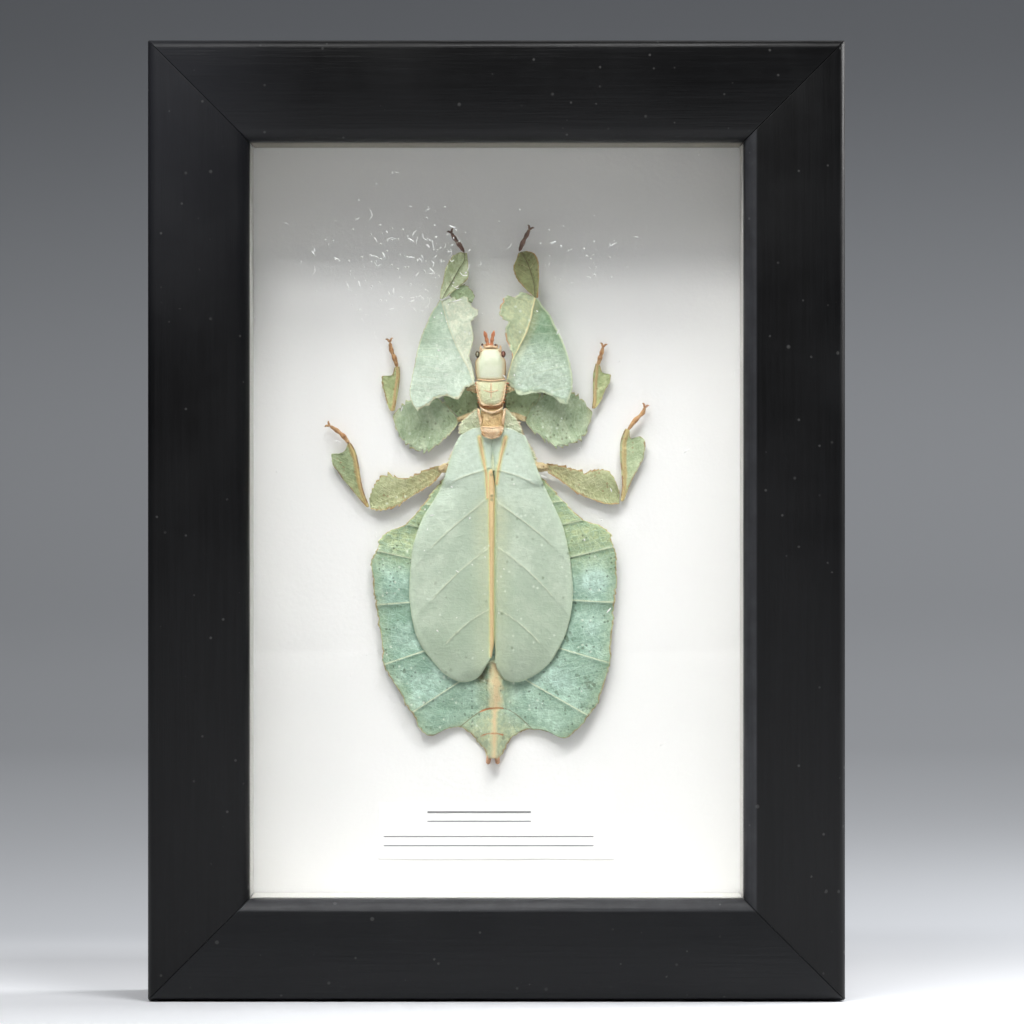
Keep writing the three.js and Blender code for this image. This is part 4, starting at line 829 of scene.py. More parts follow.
def makeRail(name, turn, x, z, length, finish):
    bm = bmesh.new()
    section = [bm.verts.new((p, q, 0)) for p, q in railSection()]
    face = bm.faces.new(section)
    made = bmesh.ops.extrude_face_region(bm, geom=[face])["geom"]
    top = [item for item in made if isinstance(item, bmesh.types.BMVert)]
    bmesh.ops.translate(bm, verts=top, vec=(0, 0, length))
    for vert in bm.verts:
        cut = vert.co.x + case["mitreGap"]
        vert.co.z = cut if vert.co.z < length / 2 else length - cut
    bmesh.ops.recalc_face_normals(bm, faces=bm.faces)
    bm.normal_update()
    sharp = [edge for edge in bm.edges if len(edge.link_faces) == 2 and edge.calc_face_angle() > 0.6]
    bmesh.ops.bevel(
        bm, geom=sharp, offset=case["edgeRound"], segments=2, profile=0.5, affect="EDGES", material=-1,
    )
    bmesh.ops.rotate(bm, verts=bm.verts, cent=(0, 0, 0), matrix=Matrix.Rotation(turn, 3, "Y"))
    bmesh.ops.translate(bm, verts=bm.verts, vec=(x, -case["depth"] / 2, z))
    return finishPiece(bm, "moulding_" + name, ["frame_" + name], finish, inFrame)


def buildCase():
    half, tall = case["width"] / 2, case["height"]
    rails = {
        "left": (0, -half, 0, tall, "paintUpright"), "right": (math.pi, half, tall, tall, "paintUpright"),
        "bottom": (-math.pi / 2, half, 0, case["width"], "paintAcross"),
        "top": (math.pi / 2, -half, tall, case["width"], "paintAcross"),
    }
    for name, settings in rails.items():
        piece = makeRail(name, *settings)
        piece.data.set_sharp_from_angle(angle=math.radians(35))
    for node, finish in solidFinishes.items():
        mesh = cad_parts[node].data
        mesh.materials.clear()
        mesh.materials.append(materials[finish])


slip = {"width": 46.5, "height": 11, "thickness": 0.12, "edge": 0.03, "z": 31.7, "face": 5.86}
# ruled lines of the label: height above the foot, left end, right end, thickness
ruledLines = [
    (35.4, -13.6, 6.7, 0.35), (33.6, -13.6, 6.7, 0.2), (30.6, -22.2, 19.0, 0.2), (28.8, -22.2, 19.0, 0.2),
]
inkDepth = 0.03


def buildLabel():
    # a thin slip stuck flat on the board, with two pairs of ruled lines
    bm = bmesh.new()
    bmesh.ops.create_cube(bm, size=1)
    bmesh.ops.scale(bm, verts=bm.verts, vec=(slip["width"], slip["thickness"], slip["height"]))
    bmesh.ops.translate(bm, verts=bm.verts, vec=(0, slip["face"] + slip["thickness"] / 2, slip["z"]))
    bmesh.ops.bevel(
        bm, geom=bm.edges[:], offset=slip["edge"], segments=1, profile=0.5, affect="EDGES", material=-1,
    )
    piece = finishPiece(bm, "labelSlip", ["label"], "labelPaper", inFrame)
    piece.data.shade_flat()
    bm = bmesh.new()
    for z, start, end, thickness in ruledLines:
        made = bmesh.ops.create_cube(bm, size=1)["verts"]
        bmesh.ops.scale(bm, verts=made, vec=(end - start, inkDepth, thickness))
        bmesh.ops.translate(bm, verts=made, vec=((start + end) / 2, slip["face"] - 0.01, z))
    piece = finishPiece(bm, "labelLines", [], "ink", inFrame)
    piece.data.shade_flat()


# loose flakes on the glass, in mm: middle across and up, spread across and up, count
dustPatches = [(-18, 142, 17, 13, 150), (18, 144, 10, 7, 40), (-7.6, 146.5, 2, 3, 14), (0, 98, 42, 60, 70)]
flake = {
    "size": (0.07, 0.17), "stretch": (1, 1.5, 2, 5), "thickness": 0.03, "side": 46, "foot": 24, "top": 164,
}
hair = {"count": 26, "x": (-17, 9), "z": (142, 6), "bow": (-0.6, 0.6), "reach": (0.4, 1.2)}
hairRadii = [0.05, 0.08, 0.05]


def buildDust():
    chance = random.Random(5)
    glassFront = min(vert.co.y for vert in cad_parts["glass"].data.vertices) / mm
    bm = bmesh.new()
    for middle, height, spreadX, spreadZ, count in dustPatches:
        for _ in range(count):
            x = min(max(chance.gauss(middle, spreadX * 0.5), -flake["side"]), flake["side"])
            z = min(max(chance.gauss(height, spreadZ * 0.5), flake["foot"]), flake["top"])
            size = chance.uniform(*flake["size"])
            made = bmesh.ops.create_icosphere(bm, subdivisions=1, radius=1)["verts"]
            shape = (size * chance.choice(flake["stretch"]), flake["thickness"], size)
            bmesh.ops.scale(bm, verts=made, vec=shape)
            turn = Matrix.Rotation(chance.uniform(0, math.pi), 3, "Y")
            bmesh.ops.rotate(bm, verts=made, cent=(0, 0, 0), matrix=turn)
            bmesh.ops.translate(bm, verts=made, vec=(x, glassFront - 0.02, z))
    for _ in range(hair["count"]):
        x, z = chance.gauss(*hair["x"]), chance.gauss(*hair["z"])
        angle = chance.uniform(0, math.pi)
        bow, reach = chance.uniform(*hair["bow"]), chance.uniform(*hair["reach"])
        along = Vector((math.cos(angle), 0, math.sin(angle)))
        over = Vector((-math.sin(angle), 0, math.cos(angle)))
        start = Vector((x, glassFront - 0.04, z))
        bent = [start - along * reach, start + over * bow, start + along * reach]
        addLimb(bm, bent, hairRadii, around=6, rings=12)
    finishPiece(bm, "glassDust", [], "dust", inFrame)


buildCase()
buildLabel()
buildDust()
print("case ready")


# Legs

def leftHem(s):
    return 1.4 * bell(s - 0.32, 0.12) - 0.65 * bell(s - 0.6, 0.18)


def rightHem(s):
    return 1.7 * bell(s - 0.25, 0.17) - 0.5 * bell(s - 0.66, 0.15)


# what both legs of a pair share
legKinds = {
    "fore": {
        "tarsusSkin": "tarsusDark", "tibia": {"lift": slope(4.9, 4.2)},
        "femur": {
            "lift": slope(3.9, 4.9), "teeth": 0.15, "wander": 0.15, "ripple": 0.5, "rippleSize": 4.5,
            "across": 60,
        },
    },
    "mid": {
        "tarsusSkin": "tarsusWarm", "tibia": {"lift": slope(0.5, 0.8)},
        "femur": {"lift": slope(1.3, 0.5), "teeth": 0.9, "pitch": 1.5, "ribRise": 0.02, "ripple": 0.3},
    },
    "hind": {
        "tarsusSkin": "tarsusWarm", "tibia": {"lift": slope(0.6, 0.9)},
        "femur": {"lift": slope(1.3, 0.6), "teeth": 0.7, "pitch": 1.2, "ribRise": 0.06, "ripple": 0.25},
    },
}
tibiaShape = {"ribRise": 0.25, "teeth": 0.2, "pitch": 0.9, "across": 40, "along": 90}
coxaLobe = {"lift": slope(0.6, 0.9, 0.2), "ribRise": 0.05, "across": 30, "along": 50}
tornFlap = {
    "lift": slope(4.4, 3.9, 0.1), "teeth": 0.7, "pitch": 0.8, "ribRise": 0.05, "across": 24, "along": 30,
}

# rows of a lobe are left edge, rib and right edge; coxa and tarsus are points with their heights
legs = {
    "fore_left": {
        "skin": "foreLegLeft", "tibiaSkin": "foreTibiaLeft",
        "coxa": ([(-2.2, 16.0, 2.9), (-3.6, 16.3, 3.2), (-5.1, 16.2, 3.5)], [1.0, 0.8, 0.4]),
        "femur": {
            "hem": leftHem, "seed": 1.0, "along": 200, "ribRise": 0.12,
            "scallops": [(0.0, 2.0), (0.3, 1.3)],
            "rows": [
                [(-14.6, 11.9), (-3.6, 17.3), (-3.3, 17.9)], [(-16, 14.3), (-4.6, 20.2), (-3.9, 21.0)],
                [(-15.6, 18.4), (-5.8, 22.4), (-4.4, 22.6)], [(-14.7, 22.6), (-6.9, 24.6), (-3.8, 24.7)],
                [(-13.7, 26.3), (-7.8, 26.8), (-3.5, 26.8)], [(-12.7, 28.9), (-8.5, 28.6), (-4.1, 29.1)],
                [(-12.1, 30.4), (-8.9, 30.0), (-2.7, 31.1)], [(-11.5, 31.5), (-9.2, 31.0), (-4.1, 32.4)],
                [(-10.9, 32.3), (-9.4, 31.9), (-5.2, 34.3)], [(-10.6, 32.8), (-9.6, 32.6), (-6.6, 33.5)],
                [(-10.4, 33.1), (-9.7, 33.0), (-7.5, 34.0)], [(-10.2, 33.5), (-9.7, 33.3), (-8.8, 33.7)],
            ],
        },
        "tibia": {
            "seed": 2.0,
            "rows": [
                [(-10.1, 33.9), (-9.6, 33.75), (-8.8, 34.15)], [(-9.9, 35.7), (-8.8, 35.4), (-7.6, 35.2)],
                [(-9.5, 37.5), (-7.8, 37), (-5.9, 36.4)], [(-8.6, 40.6), (-6.4, 39.5), (-4.7, 37.8)],
                [(-7.5, 42.2), (-5.3, 41.4), (-4.6, 40.8)], [(-6.2, 42.9), (-5.3, 42.7), (-4.8, 42.6)],
            ],
        },
        "flap": {
            "seed": 2.5,
            "rows": [
                [(-8.2, 34.3), (-7.4, 35.4), (-6.5, 36.4)], [(-6.8, 33.6), (-6.1, 34.9), (-5.1, 36.3)],
                [(-5.2, 33.0), (-4.6, 34.2), (-3.9, 35.4)], [(-3.9, 33.0), (-3.6, 33.7), (-3.3, 34.3)],
            ],
        },
        "tarsus": [(-5.3, 42.8, 4.6), (-6.4, 44.5, 4.7), (-7.3, 45.7, 4.3), (-7.9, 46.8, 3.8)],
    },
    "fore_right": {
        "skin": "foreLegRight", "tibiaSkin": "foreTibiaRight",
        "coxa": ([(2.0, 16.0, 2.9), (3.5, 16.3, 3.2), (4.8, 16.3, 3.5)], [1.0, 0.8, 0.4]),
        "femur": {
            "hem": rightHem, "seed": 3.0, "along": 210, "ribRise": 0.28,
            "scallops": [(0.35, 1.5), (0.0, 2.0)],
            "rows": [
                [(2.8, 17.7), (2.95, 17.9), (14.7, 13.2)], [(3.2, 19.2), (3.5, 20.0), (15.8, 16.0)],
                [(3.7, 21.0), (4.2, 22.3), (15.7, 19.2)], [(4.0, 23.0), (5.3, 24.3), (15.1, 22.1)],
                [(3.4, 24.5), (6.1, 25.8), (14.3, 24.7)], [(2.8, 26.2), (6.8, 27.2), (13.5, 26.5)],
                [(2.7, 27.7), (7.3, 28.7), (12.6, 28.2)], [(3.2, 29.0), (7.65, 29.9), (11.9, 29.7)],
                [(1.7, 30.4), (7.85, 31.0), (11.1, 31)], [(1.7, 32.1), (8.0, 31.8), (10.5, 31.7)],
                [(3.1, 34.3), (8.2, 32.5), (10.0, 32.3)], [(4.6, 34.0), (8.3, 33.1), (9.6, 33.0)],
                [(5.8, 35.0), (8.4, 33.5), (9.35, 33.4)], [(7.6, 34.5), (8.5, 33.9), (9.0, 33.8)],
            ],
        },
        "tibia": {
            "seed": 4.0,
            "rows": [
                [(7.8, 34.6), (8.5, 34), (9.1, 34.05)], [(6.5, 35.8), (8.4, 35.9), (9.2, 36.1)],
                [(4.8, 37.9), (7.9, 38.2), (9.3, 38.6)], [(4.2, 39.6), (7.1, 40.6), (9.2, 41)],
                [(4.9, 41.6), (6.2, 42.3), (8.4, 42.6)], [(5.2, 42.6), (5.8, 42.9), (6.9, 43.1)],
            ],
        },
        "tarsus": [(5.4, 43.0, 4.6), (6.1, 44.7, 4.7), (6.9, 46.3, 4.3), (7.5, 47.5, 3.8)],
    },
    "mid_left": {
        "skin": "midLeg", "tibiaSkin": "midTibia",
        "coxa": ([(-2.0, 11.2, 1.5), (-4.5, 10.7, 1.6), (-7.0, 10.0, 1.7)], [0.75, 0.7, 0.5]),
        "lobe": {
            "seed": 5.0,
            "rows": [
                [(-2.6, 15.8), (-2.8, 13.2), (-3.0, 11.0)], [(-4.4, 16.2), (-4.6, 13.2), (-4.8, 10.5)],
                [(-6.2, 15.9), (-6.2, 12.8), (-5.9, 10.1)], [(-8.0, 15.4), (-7.5, 12.9), (-6.6, 10.6)],
                [(-9.4, 14.6), (-8.8, 12.9), (-7.4, 11.6)],
            ],
        },
        "femur": {
            "seed": 6.0,
            "rows": [
                [(-6.8, 10.5), (-6.7, 9.9), (-6.6, 9.4)], [(-8, 11.9), (-8.3, 9.6), (-7.5, 8.2)],
                [(-9.3, 13.3), (-10.1, 9.4), (-9.4, 6.4)], [(-11.3, 14.3), (-12.2, 9.3), (-12, 4.4)],
                [(-13.9, 14.5), (-14.2, 9.5), (-14.2, 4.1)], [(-16.1, 13.8), (-16.3, 9.9), (-16.5, 5.3)],
                [(-18, 12.5), (-18.1, 10.4), (-18.3, 7.4)], [(-19.2, 11.3), (-19.3, 11), (-19.4, 10.5)],
            ],
        },
        "tibia": {
            "seed": 7.0,
            "rows": [
                [(-20, 12), (-19.5, 11.9), (-19, 12.05)], [(-20.5, 13.3), (-19.2, 13.3), (-18.8, 13.3)],
                [(-21.1, 15.3), (-19, 15.5), (-18.4, 15.5)], [(-21.5, 17.1), (-18.7, 17.3), (-18.1, 17.4)],
                [(-21.5, 18.6), (-18.5, 18.4), (-18, 18.6)], [(-19.6, 18.9), (-18.5, 19.4), (-18, 19.6)],
                [(-19.1, 20.3), (-18.6, 20.5), (-18.1, 20.5)],
            ],
        },
        "tarsus": [(-18.5, 20.2, 1.2), (-19.1, 22.3, 1.3), (-19.7, 23.8, 1.3), (-20, 25.5, 1.2)],
    },
    "mid_right": {
        "skin": "midLeg", "tibiaSkin": "midTibia",
        "coxa": ([(2.0, 11.2, 1.5), (4.6, 10.8, 1.6), (7.1, 10.1, 1.7)], [0.75, 0.7, 0.5]),
        "lobe": {
            "seed": 8.0,
            "rows": [
                [(2.6, 15.8), (2.8, 13.2), (3.0, 11.2)], [(4.2, 16.2), (4.5, 13.2), (4.6, 10.7)],
                [(5.8, 16), (6.0, 13), (6.0, 10.2)], [(7.6, 15.9), (7.3, 13), (6.9, 10.7)],
                [(9.4, 15.2), (8.7, 13), (7.5, 11.8)],
            ],
        },
        "femur": {
            "seed": 9.0,
            "rows": [
                [(6.9, 10.7), (6.8, 10.1), (6.8, 9.4)], [(7.7, 12.4), (8.5, 9.9), (8.4, 7.6)],
                [(9.7, 14.5), (10.4, 9.8), (10.6, 6.4)], [(11.8, 15.5), (12.4, 9.8), (12.7, 5)],
                [(14, 15.8), (14.4, 9.9), (14.8, 5.1)], [(16, 15.2), (16.4, 10.2), (16.8, 6.1)],
                [(17.9, 13.7), (18.2, 10.7), (18.6, 7.9)], [(19.6, 11.9), (19.7, 11.5), (19.7, 11)],
            ],
        },
        "tibia": {
            "seed": 10.0,
            "rows": [
                [(19.7, 12.5), (20.1, 12.4), (20.6, 12.6)], [(19.9, 14.1), (20.3, 14.1), (21.5, 13.9)],
                [(19.9, 16.1), (20.4, 16.1), (22.4, 16.1)], [(19.9, 17.8), (20.5, 17.8), (23.3, 17.7)],
                [(19.9, 19), (20.6, 18.9), (23.5, 18.9)], [(20.1, 19.9), (20.7, 19.8), (21.8, 19.4)],
                [(20.4, 21.1), (20.8, 21), (21.3, 20.7)],
            ],
        },
        "tarsus": [(20.8, 20.6, 1.2), (21.3, 22.3, 1.3), (21.6, 23.3, 1.3), (21.9, 24.5, 1.2)],
    },
    "hind_left": {
        "skin": "hindLeg", "tibiaSkin": "hindTibiaLeft",
        "coxa": ([(-7.6, 0.8, 1.9), (-9.2, 0.6, 2.0), (-10.6, 0.2, 2.0)], [1.0, 0.9, 0.6]),
        "femur": {
            "seed": 11.0,
            "rows": [
                [(-10.4, 1.1), (-10.1, 0.3), (-9.9, -0.5)], [(-12.2, 0.5), (-12.1, -1.2), (-11.5, -2.3)],
                [(-14.5, -0.4), (-14.4, -2.6), (-13.9, -3.9)], [(-16.5, -1.2), (-16.8, -3.9), (-16.6, -5.5)],
                [(-18.8, -1.2), (-19, -4.9), (-19, -6.9)], [(-20.9, -0.9), (-20.9, -5.7), (-21.1, -7.5)],
                [(-22.5, -1.9), (-22.5, -6.3), (-22.7, -7.6)], [(-24, -5.1), (-23.8, -6.8), (-23.7, -7.4)],
            ],
        },
        "tibia": {
            "seed": 12.0,
            "rows": [
                [(-24.8, -6.8), (-24.4, -6.9), (-24.1, -6.7)], [(-27.4, -3.7), (-25.6, -3.7), (-25.2, -3.7)],
                [(-30.1, -0.3), (-26.3, -0.9), (-25.8, -0.8)], [(-31.3, 1.7), (-26.5, 0.6), (-26, 0.8)],
                [(-31.4, 3.4), (-26.8, 2), (-26.3, 2.3)], [(-30.1, 3.5), (-27.1, 3), (-26.5, 3.2)],
                [(-28.9, 4), (-27.5, 4.2), (-26.9, 4.3)], [(-28.3, 5.3), (-28, 5.4), (-27.6, 5.5)],
            ],
        },
        "tarsus": [(-27.8, 5.2, 1.3), (-29.1, 6.9, 1.4), (-30.4, 8, 1.4), (-31.9, 9, 1.3)],
    },
    "hind_right": {
        "skin": "hindLeg", "tibiaSkin": "hindTibiaRight",
        "coxa": ([(7.8, 0.9, 1.9), (9.8, 0.8, 2.0), (11.3, 0.6, 2.0)], [1.0, 0.9, 0.6]),
        "femur": {
            "seed": 13.0,
            "rows": [
                [(10.9, 1.5), (10.9, 0.7), (11.1, -0.3)], [(12.4, 1.3), (12.4, 0.1), (12.6, -1.2)],
                [(14.6, 0.8), (14.6, -1.4), (14.6, -2.6)], [(16.7, 0.2), (16.9, -2.9), (16.7, -4.2)],
                [(18.5, -0.3), (19.3, -4.1), (19.1, -5.3)], [(20.6, 0.5), (21.4, -5), (21.2, -6.1)],
                [(23.4, -0.4), (23.4, -5.5), (23.2, -6.5)], [(25.1, -4), (25, -5.8), (25, -6.4)],
            ],
        },
        "tibia": {
            "seed": 14.0,
            "rows": [
                [(25.3, -5.6), (25.7, -5.8), (26.1, -5.5)], [(25.6, -3.1), (26, -3.1), (27.1, -2.9)],
                [(25.5, -0.6), (26.1, -0.4), (28.4, -0.1)], [(25.3, 1.6), (26, 1.8), (29.6, 2.1)],
                [(25.2, 3.3), (26, 3.5), (30.2, 4)], [(25.2, 4.7), (26, 4.8), (30, 5.7)],
                [(25.3, 5.7), (26.1, 5.7), (29.1, 6.8)], [(25.5, 6.6), (26.3, 6.5), (27.3, 6.5)],
                [(26.2, 8.3), (26.6, 8.2), (27.1, 8)],
            ],
        },
        "tarsus": [(26.6, 7.9, 1.3), (28.3, 10.1, 1.4), (29.7, 11.5, 1.4), (30.1, 12.6, 1.3)],
    },
}


# a claw from the end of a tarsus: its root back along it, then how far ahead and aside it bends and ends
claw = {"root": 0.2, "bend": (0.5, 0.4), "tip": (0.55, 0.8), "drop": 0.4, "radii": [0.26, 0.18, 0.06]}
tarsusRadii = [0.5, 0.42, 0.38, 0.46]
coxaRidge = {"out": 0.75, "up": 0.55, "radii": [0.14, 0.12, 0.1]}


def buildTarsus(name, points, skin):
    bm = bmesh.new()
    addLimb(bm, points, tarsusRadii, knots=0.2, rings=36)
    end, before = Vector(points[-1]), Vector(points[-2])
    ahead = (end - before).normalized()
    side = Vector((-ahead.y, ahead.x, 0)).normalized()
    for hand in (-1, 1):
        bend = end + ahead * claw["bend"][0] + side * hand * claw["bend"][1]
        tip = end + ahead * claw["tip"][0] + side * hand * claw["tip"][1] - Vector((0, 0, claw["drop"]))
        addLimb(bm, [end - ahead * claw["root"], bend, tip], claw["radii"], around=8, rings=10)
    markPlain(bm)
    finishPiece(bm, name + "Tarsus", [name + "_tarsus"], skin)


def buildCoxa(name, points, radii, slot):
    # the root of a leg: a ringed cone with a thin ridge along each side
    bm = bmesh.new()
    addLimb(bm, points, radii, around=16, rings=36, knots=0.06)
    for hand in (-1, 1):
        ridge = []
        for point, radius in zip(points, radii):
            aside = Vector((0, hand * radius * coxaRidge["out"], radius * coxaRidge["up"]))
            ridge.append(Vector(point) + aside)
        addLimb(bm, ridge, coxaRidge["radii"], around=8, rings=16)
    markPlain(bm)
    finishPiece(bm, name + "Coxa", [name + "_coxa"], "coxa")


def buildLegs():
    for name, leg in legs.items():
        kind, side = name.split("_")
        slot, shared = kind + "_leg", legKinds[kind]
        inner = {"innerSide": 1 if side == "left" else -1}
        buildCoxa(name, *leg["coxa"], slot)
        if "lobe" in leg:
            lobe = makeLeaf({**coxaLobe, **leg["lobe"], **inner})
            finishPiece(lobe, name + "CoxaLobe", [name + "_coxa"], "coxaLobe")
        if "flap" in leg:
            flap = makeLeaf({**tornFlap, **leg["flap"], **inner})
            finishPiece(flap, name + "Flap", [name + "_tibia"], "coxaLobe")
        femur = makeLeaf({**shared["femur"], **leg["femur"], **inner})
        finishPiece(femur, name + "Femur", [name + "_femur"], leg["skin"])
        tibia = makeLeaf({**tibiaShape, **shared["tibia"], **leg["tibia"], **inner})
        finishPiece(tibia, name + "Tibia", [name + "_tibia"], leg["tibiaSkin"])
        buildTarsus(name, leg["tarsus"], shared["tarsusSkin"])


buildLegs()
print("legs ready")


# Abdomen and wings

def abdomenTop(x, y, s, share):
    lift = 0.3 + 1.2 * smooth(4, 17, abs(x)) + 0.5
    trunk = 1.7 * bell(x, 3.2) * (1 - s * s)
    tube = 0.35 * smooth(2.3, 1.3, abs(x - 0.75)) * smooth(-34, -37, y)
    return lift + trunk + tube - 0.35 * bell(x + 2.0, 0.9) * bell(y + 39, 3) - 0.12 * bell(y + 46.8, 0.3)


def softened(points):
    # a bent line with its corners rounded
    path = [Vector((x, y, 0)) for x, y in points]
    return [tuple(curvePoint(path, i / 5).xy) for i in range(5 * (len(points) - 1) + 1)]


# edges of the last two rings of the abdomen, seen from above
tailArcs = [
    softened([(-6.2, -50.2), (-2.2, -47.2), (0.2, -46.5), (3.5, -46.9), (8.3, -50.9)]),
    softened([(-3.2, -52.4), (0.2, -51.4), (4.2, -52.4)]),
]

# places where the light comes through the leaf, and dark blotches: middle, radius and strength
glowPatches = [
    ((-19.2, -21.3), 2.6, 0.45), ((20.1, -21.6), 3.1, 1.0), ((13.6, -41.0), 3.6, 0.7),
    ((-11.5, -43.8), 2.8, 0.5), ((19.6, -31.0), 2.4, 0.6),
]
blotches = [
    ((19.2, -41.6), 1.7, 1.4), ((14.8, -32.6), 1.2, 1.2), ((18.0, -46.2), 1.3, 1.0),
    ((14.2, -46.6), 0.6, 1.2),
]


def patchShare(x, y, patches):
    return max(strength * bell(math.dist((x, y), middle), radius) for middle, radius, strength in patches)


def abdomenMarks(x, y):
    tube = abs(x - 0.85 + 0.3 * smooth(-45, -48, y))
    widened = tube * (1 + 0.9 * smooth(-46, -47.5, y))
    toArc = min(toLine(x, y, arc) for arc in tailArcs)
    spots = bell(x + 0.15, 0.4) * bell(y + 39.3, 1.2) + bell(x + 0.7, 0.35) * bell(y + 41.4, 0.7)
    return {
        "tube": widened + 9 * smooth(-37.5, -35, y) + 0.5 * wave(x, y, 1.1, 4),
        "arc": toArc, "arcMiddle": toArc + 9 * smooth(2.2, 4.5, abs(x)),
        # crevice: brown stain below the wing tips with two dark spots, partly painted shade
        "crevice": bell(x + 2.1, 1.3) * bell(y + 38.9, 3.4) + 0.8 * spots,
        "glow": patchShare(x, y, glowPatches),
        "blotch": patchShare(x, y, blotches) * (0.6 + 1.6 * wave(x, y, 0.6, 8)),
    }


abdomen = {
    "rows": [
        [(-8.8, -0.3), (0, 0), (8.9, -0.2)], [(-10.9, -3.3), (0, -3.3), (11.3, -2.9)],
        [(-13.3, -6.4), (0, -7.3), (14, -5.8)], [(-17, -10.4), (0, -13.7), (18.1, -9.5)],
        [(-21.1, -12.5), (0, -16.9), (22.5, -11.5)], [(-22.6, -15.6), (0, -20.6), (23.9, -14.8)],
        [(-23.6, -18.2), (0, -21.6), (24.6, -18.6)], [(-23.3, -21.6), (0, -22.9), (24.5, -22)],
        [(-22.7, -26.2), (0, -24.5), (24.1, -25.7)], [(-21.6, -32.8), (0, -28.4), (23.6, -32.1)],
        [(-21.1, -37.9), (0, -30.8), (23.1, -37.6)], [(-17.7, -44), (0, -34.7), (21.4, -44)],
        [(-15.7, -47.4), (0, -37.2), (19.1, -48)], [(-12.6, -51.9), (0, -39.6), (14.3, -52.4)],
        [(-8.3, -50.5), (0.1, -43.1), (10.6, -51)], [(-6.1, -50.3), (0.1, -46.5), (6.7, -50.9)],
        [(-3.3, -52.5), (0.2, -51.5), (3.9, -52.4)], [(-1.2, -55.1), (0.3, -54.1), (2.1, -55.4)],
        [(-1, -56.4), (0.3, -56.3), (1.4, -56.4)],
    ],
    "veins": [2, 3, 5, 8, 10, 12], "lift": abdomenTop, "remark": abdomenMarks, "across": 110, "along": 219,
    "teeth": 0.35, "pitch": 1.3, "seed": 20.0, "ripple": 0.45, "rippleSize": 5.0, "ribRise": 0.0,
    "overlap": (0.25, 0.0), "veinRise": 0.14, "veinHalf": 0.14, "step": 0.1, "slant": 0.0,
}


def wingTop(x, y, s, share):
    # the margins come down over the thorax and lie just above the abdomen
    back = 0.3 + 1.2 * smooth(4, 17, abs(x)) + 1.9 * bell(x, 3.2) + 0.8
    margin = min(max(back, 2.6 * smooth(-6, -1, y)), 3.35)
    return 3.35 + (margin - 3.35) * s * s + 0.5


# raised ridges of the closed wings: the edge of the fold on each side, and the long middle ridge
foldRidges = {
    "left": [(-2.37, 6.6), (-1.65, 2.5), (-1.04, -0.7), (-0.78, -5.2)],
    "right": [(2.74, 6.6), (1.88, 3.2), (1.27, 0.04), (1.05, -2.4)],
}
middleRidge = [(0.05, -0.3), (0.0, -10), (0.05, -25), (0.1, -36.2)]


def leftWingMarks(x, y):
    fold = toLine(x, y, foldRidges["left"]) - 0.16 - 0.1 * smooth(0, 6, y)
    half = 0.34 + 0.2 * smooth(-22, -3, y)
    return {"ridge": min(fold, toLine(x, y, middleRidge) - half), "middle": abs(x) + 6 * smooth(-8, 0, y)}


def rightWingMarks(x, y):
    fold = toLine(x, y, foldRidges["right"]) - 0.14 - 0.1 * smooth(0, 6, y)
    return {"ridge": fold, "middle": abs(x) + 6 * smooth(-8, 0, y)}


def rightWingTop(x, y, s, share):
    # its inner edge goes under that of the left wing
    return wingTop(x, y, s, share) - 0.14 * smooth(1.3, 0.9, x) * smooth(2, 0, y)


wings = {
    "left": {
        "seed": 21.0, "remark": leftWingMarks, "innerSide": 1,
        "rows": [
            [(-6.2, 7.0), (-3.9, 8.3), (-2.0, 8.7)], [(-7.2, 5.2), (-2.1, 5.6), (0.3, 5.9)],
            [(-8.5, 1.2), (-1.4, 1.6), (0, 2.4)], [(-10.4, -4.1), (-1.1, 0.3), (0.1, 0.4)],
            [(-13.3, -8.8), (-0.9, -1.8), (0.45, -1.6)], [(-15.3, -14.1), (-0.7, -3.5), (0.6, -3.3)],
            [(-16, -19.8), (-0.6, -5.2), (0.7, -5.1)], [(-16.1, -25.1), (-0.4, -10.4), (0.75, -10.2)],
            [(-15.4, -29.9), (-0.3, -14.9), (0.75, -14.7)], [(-14, -34), (-0.1, -21), (0.75, -20.8)],
            [(-11.6, -37.2), (0, -26.9), (0.72, -26.7)], [(-8.8, -40.1), (0, -31.2), (0.65, -31)],
            [(-5.6, -41.4), (0, -33.9), (0.5, -33.7)], [(-2.7, -40.5), (-0.1, -35.5), (0.2, -35.5)],
            [(-0.6, -37.4), (-0.3, -36.6), (0, -36.7)],
        ],
    },
    "right": {
        "seed": 22.0, "remark": rightWingMarks, "innerSide": -1, "lift": rightWingTop,
        "rows": [
            [(2.0, 8.7), (4.1, 8.2), (6.6, 6.9)], [(-0.2, 5.9), (2.3, 5.5), (7.4, 5.0)],
            [(0.4, 2.4), (1.7, 2), (8.6, 1.4)], [(0.5, 0.4), (1.3, 0.2), (11.1, -4.5)],
            [(0.6, -2), (1.2, -2.2), (12.7, -7.8)], [(0.7, -4.3), (1.1, -4.5), (14.1, -11.2)],
            [(0.62, -5.9), (1.2, -6.1), (15.6, -18.8)], [(0.62, -10.2), (1.2, -10.4), (15.9, -23.9)],
            [(0.62, -14.7), (1.2, -14.9), (15.4, -28.9)], [(0.62, -21), (1.2, -21.2), (13.8, -33.5)],
            [(0.62, -27), (1.2, -27.2), (11.9, -37)], [(0.62, -31.4), (1.2, -31.6), (8.8, -39.8)],
            [(0.62, -34.1), (1.1, -34.3), (5.1, -41.4)], [(0.7, -36.1), (0.95, -36.2), (2.6, -40.9)],
            [(0.5, -37.4), (0.75, -37.5), (1.1, -39)],
        ],
    },
}
